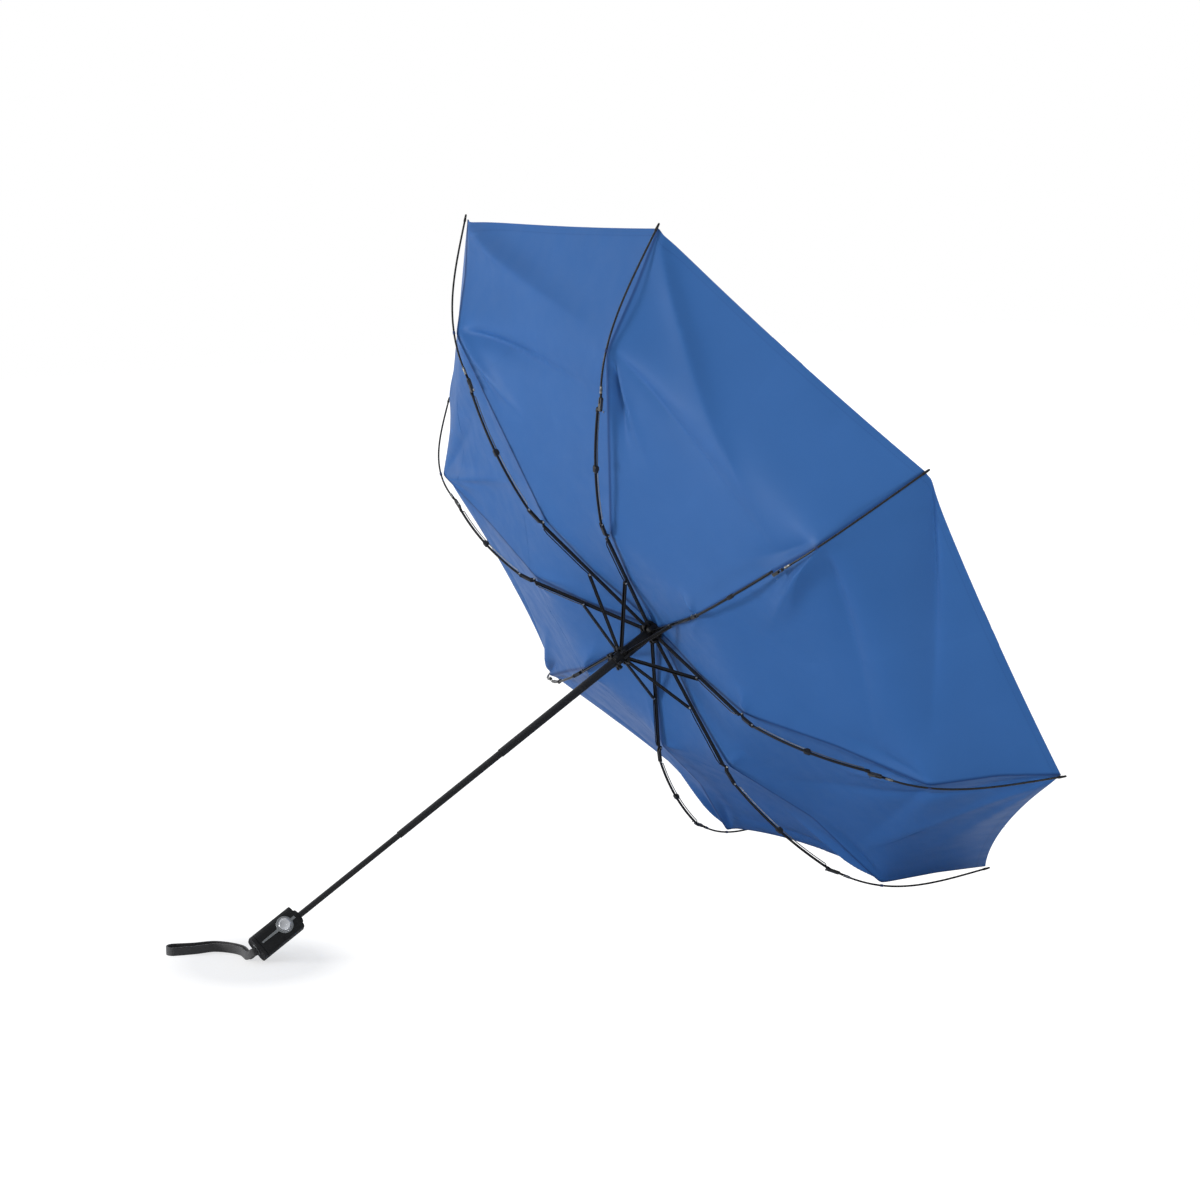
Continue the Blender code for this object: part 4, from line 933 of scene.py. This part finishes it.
def build_middle_rib(k):
    member = middle_member(k)
    body = f"middle_rib_{k}"
    length = MIDDLE_RIB_LENGTH

    def on_rod(share, rise=0.0):
        return np.stack([share * length, middle_rod_drop(share) + rise], -1)

    start = 2 * HINGE_RADIUS / length
    rod = sweep(member.world(on_rod(np.linspace(start, 1.0, ROD_STEPS))), MIDDLE_ROD_RADIUS)
    tongue = link_plate(member, ((0, 0), on_rod(2 * start)), TONGUE_RADIUS, MIDDLE_TONGUE)
    eye = link_plate(member, (on_rod(1 - start), (length, 0)), EYE_RADIUS, EYE_WIDTH)
    add_piece(f"middle_rod_{k}", joined(rod, tongue, eye), "coated", body, [body])
    shares = [1.4 * start, 2.4 * start, *WIRE_SHARES, 1 - 2.4 * start, 1 - 1.4 * start]
    rise = np.full(len(shares), PULL_WIRE_RISE)
    rise[0] = rise[-1] = PULL_WIRE_END_RISE
    fine = np.linspace(0, 1, WIRE_STEPS)
    known = np.linspace(0, 1, len(shares))
    run = member.world(on_rod(np.interp(fine, known, shares), np.interp(fine, known, rise)))
    half = len(run) // 2
    for name, part, material in (("pull_wire", run[:half + 1], "bright"),
                                 ("pull_wire_end", run[half:], "dull")):
        add_piece(f"{name}_{k}", sweep(part, PULL_WIRE_RADIUS, 8), material, body)
    middle = on_rod(0.5)
    guides = [link_plate(member, (middle + (-reach, up), middle + (reach, up)), radius, width)
              for reach, up, radius, width in WIRE_GUIDE]
    add_piece(f"wire_guide_{k}", joined(*guides), "moulded", body)


def rivets(k, places):
    """Low domes on the ends of pins: points of the plane of rib k and the side each is on."""
    turn = rib_turn(k)
    side = np.array([-math.sin(turn), math.cos(turn), 0]) @ SHAFT
    return joined(*(turned(np.array(point) + side * out, side * math.copysign(1, out), RIVET, 14)
                    for point, out in places))


def build_rivets(k):
    """Bright heads on the hinge pins, each on the member that carries its pin."""
    both = (FORK_SIDE, -FORK_SIDE)
    low = [(pivot(kind, k), out) for kind in ("stretcher", "knuckle") for out in both]
    add_piece(f"top_rib_rivets_{k}", rivets(k, low), "bright", f"top_rib_{k}")
    high = [(pivot("middle_rib", k), out) for out in both]
    high.append((pivot("rib_socket", k), SOCKET_SIDE))
    add_piece(f"middle_rib_rivets_{k}", rivets(k, high), "bright", f"middle_rib_{k}")


# Handle

BUTTON_DISH = in_mm([(0.62, 0.264), (0.6, 1.65), (0.5, 2.97), (0.34, 4.092), (0.12, 5.148),
                     (0.02, 5.676), (0.08, 6.138), (0.35, 6.468), (0.8, 6.6), (6.0, 6.6)])
WELL_RADIUS = 6.9 * MM
WASHER, RING = in_mm([(7.35, 0.42, 0.45), (8.65, 0.95, 0.75)])
FACE_DEPTH = 0.2 * MM
PLATE_RADIUS = 9.3 * MM
PLATE_REACH = (14.4 * MM, 31.6 * MM)
PLATE_HALF_WIDTH = (1.6 * MM, 1.0 * MM)
PLATE_THICKNESS = 1.0 * MM
PLATE_EDGE = 0.3 * MM
COLLAR = in_mm([(55.0, 9.4), (56.2, 9.4), (57.2, 9.2), (57.4, 8.6), (59.4, 8.3), (60.0, 7.9),
                (60.15, 7.2), (60.15, 4.6), (59.3, 4.2), (59.3, 3.2)])
SLOT_SIZE = (6.2 * MM, 2.9 * MM)
SLOT_RIM = 0.5 * MM
SLOT_CORNER = 0.6
SLOT_STEPS = 48


def press_end():
    """The middle of the button's outer face and the way that it is pressed."""
    axis = np.array(JOINTS["button_press"]["axis"])
    points = np.array([tuple(vertex.co) for vertex in frame["nodes"]["release_button"].data.vertices])
    along = points @ axis
    face = points[along < along.min() + FACE_DEPTH].mean(0)
    return face + axis * (along.min() - face @ axis), axis


def build_button():
    """A dished silver button in a rounded grey ring."""
    add_piece("button_dish", turned(*press_end(), BUTTON_DISH, 64), "button", "release_button",
              ["release_button"])


def closed_loft(rings):
    """A body through rings that close on the first one."""
    points, faces = loft(rings)
    count = len(rings[0])
    last = (len(rings) - 1) * count
    closing = [(last + j, last + (j + 1) % count, (j + 1) % count, j) for j in range(count)]
    return points, faces[:-2] + closing


def hoop(centre, side, other, radius, width, height, rounds=72, sections=10):
    """A ring of oval section, in the plane of two directions."""
    normal = np.cross(side, other)
    rings = []
    for i in range(rounds):
        turn = 2 * math.pi * i / rounds
        out = math.cos(turn) * side + math.sin(turn) * other
        leans = np.arange(sections)[:, None] * 2 * math.pi / sections
        rings.append(centre + out * (radius + width * np.cos(leans))
                     + normal * height * np.sin(leans))
    return closed_loft(rings)


def plate_outline(inset):
    """The edge of the grey plate: a ring with a narrow stripe up and down the grip."""
    radius = PLATE_RADIUS - inset
    wide, narrow = (half - inset for half in PLATE_HALF_WIDTH)
    up, down = (reach - inset for reach in PLATE_REACH)
    start = math.asin(wide / radius)
    turns = np.linspace(start, math.pi - start, 33)
    right = [(wide, up)] + [(radius * math.sin(turn), radius * math.cos(turn)) for turn in turns]
    right.append((narrow, -down))
    return np.array(right + [(-x, y) for x, y in right[::-1]])


def build_bezel():
    """The grey plate with its rounded ring and the bright washer round the button."""
    face, axis = press_end()
    nodes = frame["nodes"]["button_bezel"].data.vertices
    top = min(float(np.dot(tuple(vertex.co), axis)) for vertex in nodes)
    centre = face + axis * (top - face @ axis)
    up = np.array(SHAFT_Z)
    side = np.cross(up, -axis)
    outer = plate_outline(0.0)
    hole = outer / np.linalg.norm(outer, axis=1)[:, None] * WELL_RADIUS
    rings = [(hole, PLATE_THICKNESS), (hole, 0.0), (plate_outline(PLATE_EDGE), 0.0),
             (outer, PLATE_EDGE), (outer, PLATE_THICKNESS)]
    rings = [centre + flat[:, :1] * side + flat[:, 1:] * up + axis * depth for flat, depth in rings]
    add_piece("bezel_plate", closed_loft(rings), "bezel", "handle", ["button_bezel"])
    add_piece("bezel_ring", hoop(centre, side, up, *RING), "bezel", "handle")
    add_piece("button_washer", hoop(centre, side, up, *WASHER), "button", "handle")


def build_collar():
    """The stepped rubber collar where the shaft leaves the grip, and the strap's rim below."""
    bottom = CROWN - SHAFT_Z * CROWN_HEIGHT
    add_piece("grip_collar", turned(bottom, SHAFT_Z, COLLAR, 48), "rubber", "handle")
    wide, narrow = SLOT_SIZE
    rings = []
    for i in range(SLOT_STEPS):
        turn = 2 * math.pi * i / SLOT_STEPS
        cos, sin = math.cos(turn), math.sin(turn)
        flat = np.array([wide * math.copysign(abs(cos) ** SLOT_CORNER, cos),
                         narrow * math.copysign(abs(sin) ** SLOT_CORNER, sin), 0.0])
        out = np.array([cos, sin, 0.0])
        leans = np.arange(8) * math.pi / 4
        ring = [flat + SLOT_RIM * (out * math.cos(lean) + np.array([0, 0, math.sin(lean)]))
                for lean in leans]
        rings.append(np.array(bottom) + np.array(ring) @ SHAFT)
    add_piece("strap_rim", closed_loft(rings), "bezel", "handle")


# Wrist strap, laid closer to the photograph than its solid

STRAP_WIDTH = 9.5 * MM
STRAP_THICKNESS = 1.1 * MM
STRAP_PLY_GAP = 2.4 * MM
STRAP_LOOP_GAP = 16.0 * MM
STRAP_SLOT_DEPTH = 3.2 * MM
STRAP_FLOOR_GAP = 0.4 * MM
GAP = 0.3 * MM
STRAP_ROUTE = [(-6.0 * MM, 12.0 * MM), (-3.0 * MM, 32.0 * MM), (-9.0 * MM, 50.0 * MM),
               (-22.0 * MM, 65.0 * MM), (-43.0 * MM, 70.0 * MM), (-64.0 * MM, 78.0 * MM)]
STRAP_STEPS = 14
STRAP_BEND_STEPS = 16
STRAP_SECTION = [(1, 0.946), (0.55, 1), (-0.55, 1), (-1, 0.946), (-1, -0.946), (-0.55, -1),
                 (0.55, -1), (1, -0.946)]


def strap_route(root, along):
    height = STRAP_WIDTH / 2 + STRAP_FLOOR_GAP
    stops = [root - along * STRAP_SLOT_DEPTH, root, root + along * STRAP_SLOT_DEPTH,
             root + 2 * along * STRAP_SLOT_DEPTH]
    stops += [Vector((root.x + x, root.y + y, height)) for x, y in STRAP_ROUTE]
    stops.append(2 * stops[-1] - stops[-2])
    route = []
    for before, here, after, last in zip(stops, stops[1:], stops[2:], stops[3:]):
        for i in range(STRAP_STEPS):
            t = i / STRAP_STEPS
            route.append(0.5 * (2 * here + (after - before) * t
                                + (2 * before - 5 * here + 4 * after - last) * t ** 2
                                + (3 * here - before - 3 * after + last) * t ** 3))
    route.append(stops[-2])
    return route


def build_strap():
    along = -SHAFT_Z
    edge_at_slot = -SHAFT_X
    upright = Vector((0, 0, 1))
    exit_point = CROWN - SHAFT_Z * CROWN_HEIGHT
    root = exit_point - along * (STRAP_SLOT_DEPTH - STRAP_THICKNESS - GAP)
    route = strap_route(root, along)
    last = len(route) - 1
    floor_height = route[-1].z
    right, left = [], []
    for i, point in enumerate(route):
        run = (route[min(last, i + 1)] - route[max(0, i - 1)]).normalized()
        across = run.cross(upright).normalized()
        landed = min(1.0, (root.z - point.z) / (root.z - floor_height))
        edge = edge_at_slot.lerp(upright, landed).normalized()
        spread = STRAP_PLY_GAP + (STRAP_LOOP_GAP - STRAP_PLY_GAP) * (i / last) ** 2
        right.append((point + across * spread / 2, across, edge))
        left.append((point - across * spread / 2, -across, edge))
    bend = []
    for i in range(1, STRAP_BEND_STEPS):
        angle = math.pi * i / STRAP_BEND_STEPS
        out = across * math.cos(angle) + run * math.sin(angle)
        bend.append((route[-1] + out * STRAP_LOOP_GAP / 2, out, upright))
    stops = right + bend + left[::-1]
    rings, cloth, run_length = [], [], 0.0
    for i, (point, out, edge) in enumerate(stops):
        if i:
            run_length += (point - stops[i - 1][0]).length
        rings.append([point + out * a * STRAP_THICKNESS / 2 + edge * b * STRAP_WIDTH / 2
                      for a, b in STRAP_SECTION])
        cloth += [(b * STRAP_WIDTH / 2, run_length, 0) for a, b in STRAP_SECTION]
    obj = add_piece("strap_webbing", closed_loft(rings), "webbing", "handle",
                    ["wrist_strap"])
    layer = obj.data.attributes.new("cloth", 'FLOAT_VECTOR', 'POINT')
    layer.data.foreach_set("vector", np.array(cloth, float).ravel())


# Stage, light and camera

SOFT_LOW = 0.42
SOFT_HIGH = 0.62
SHINE_LOW = 0.1
SHINE_HIGH = 1.4
FLOOR_NEAR = 0.07
FLOOR_FAR = 0.15
FLOOR_GLOW = 1.2
FLOOR_GLOW_SHARE = 0.5
FLOOR_SIZE = 14.0


def toward(eye, left, back, up):
    """A direction from the object, given by the camera's own axes and the world's up."""
    matrix = eye.matrix_world.to_3x3()
    return (-matrix.col[0] * left + matrix.col[2] * back + Vector((0, 0, up))).normalized()


def world_light(eye):
    """A white studio whose soft light is stronger from the camera's left."""
    world = bpy.data.worlds.new("studio")
    bpy.context.scene.world = world
    world.use_nodes = True
    tree = world.node_tree
    tree.nodes.clear()
    path = add_node(tree, "ShaderNodeLightPath").outputs
    place = add_node(tree, "ShaderNodeTexCoord").outputs["Generated"]

    def graded(direction, start, low, high):
        facing = add_node(tree, "ShaderNodeVectorMath", {0: place, 1: direction},
                          operation='DOT_PRODUCT')
        return map_range(tree, facing.outputs["Value"], low, high, start, 1.0)

    soft = graded(toward(eye, 0.85, 0.5, -0.15), -0.7, SOFT_LOW, SOFT_HIGH)
    shine = graded(toward(eye, 0.8, -0.2, 0.5), -0.6, SHINE_LOW, SHINE_HIGH)
    strength = add_node(tree, "ShaderNodeMix", {0: path["Is Glossy Ray"], 2: soft, 3: shine},
                        data_type='FLOAT').outputs[0]
    lit = add_node(tree, "ShaderNodeBackground",
                   {"Color": (0.95, 0.97, 1.0, 1), "Strength": strength}).outputs[0]
    white = add_node(tree, "ShaderNodeBackground", {"Color": (1, 1, 1, 1)}).outputs[0]
    mixed = add_node(tree, "ShaderNodeMixShader", {0: path["Is Camera Ray"], 1: lit, 2: white})
    add_node(tree, "ShaderNodeOutputWorld", {"Surface": mixed.outputs[0]})


def floor():
    """A pale floor that looks pure white, but for the shade round the grip."""
    bpy.ops.mesh.primitive_plane_add(size=FLOOR_SIZE, location=(0, 0, CAD_BOUNDS[0][2]))
    plane = bpy.context.active_object
    plane.name = "floor"
    finish = Finish("white_floor", (0.92, 0.92, 0.92), 0.9)
    finish.set("Specular IOR Level", 0.0)
    grip = (CROWN - SHAFT_Z * CROWN_HEIGHT).to_tuple()
    away = finish.node("ShaderNodeVectorMath", {0: finish.place, 1: grip}, operation='DISTANCE')
    fade = finish.spread(away.outputs["Value"], FLOOR_GLOW_SHARE, 1.0, FLOOR_NEAR, FLOOR_FAR)
    seen = finish.node("ShaderNodeLightPath").outputs["Is Camera Ray"]
    glow = finish.node("ShaderNodeEmission", {"Strength": FLOOR_GLOW}).outputs[0]
    mixed = finish.node("ShaderNodeMixShader", {
        0: finish.maths('MULTIPLY', seen, fade), 1: finish.shader.outputs[0], 2: glow})
    feed(finish.tree, finish.tree.nodes["Material Output"].inputs["Surface"], mixed.outputs[0])
    plane.data.materials.append(finish.material)


def lamp(name, place, target, size, power):
    data = bpy.data.lights.new(name, 'AREA')
    data.shape = 'SQUARE'
    data.size = size
    data.energy = power
    obj = linked(name, data)
    obj.location = place
    obj.rotation_euler = (Vector(target) - Vector(place)).to_track_quat('-Z', 'Y').to_euler()
    obj.visible_camera = False


def camera():
    data = bpy.data.cameras.new("camera")
    data.lens = LENS
    data.sensor_width = 36
    data.clip_end = 50
    obj = linked("camera", data)
    right = Vector(np.array(CAMERA_RIGHT) @ SHAFT)
    up = -Vector(np.array(CAMERA_DOWN) @ SHAFT)
    back = right.cross(up)
    matrix = Matrix((right, up, back)).transposed().to_4x4()
    matrix.translation = Vector(to_world([CAMERA_PLACE])[0])
    obj.matrix_world = matrix
    bpy.context.scene.camera = obj
    return obj


def lights(eye):
    middle = Vector((0, 0, 0.35))
    low = Vector((0, 0, 0.24))
    high = Vector((0, 0, 0.5))
    lamp("key", low + toward(eye, 1.0, 0.22, -0.04) * 2.0, high, 0.44, 25)
    lamp("fill", low + toward(eye, -0.35, 0.9, -0.15) * 2.2, high, 0.44, 12)
    lamp("top", Vector((-0.5, -0.2, 2.6)), middle, 1.4, 3)
    lamp("back", high + toward(eye, -0.5, -1.0, 0.3) * 2.2, high, 0.44, 24)


bpy.context.scene.view_settings.view_transform = 'Standard'
dress_frame()
build_canopy()
for rib in range(1, RIB_COUNT + 1):
    build_outer_rib(rib)
    build_middle_rib(rib)
    build_rivets(rib)
build_button()
build_bezel()
build_collar()
build_strap()
floor()
eye = camera()
world_light(eye)
lights(eye)
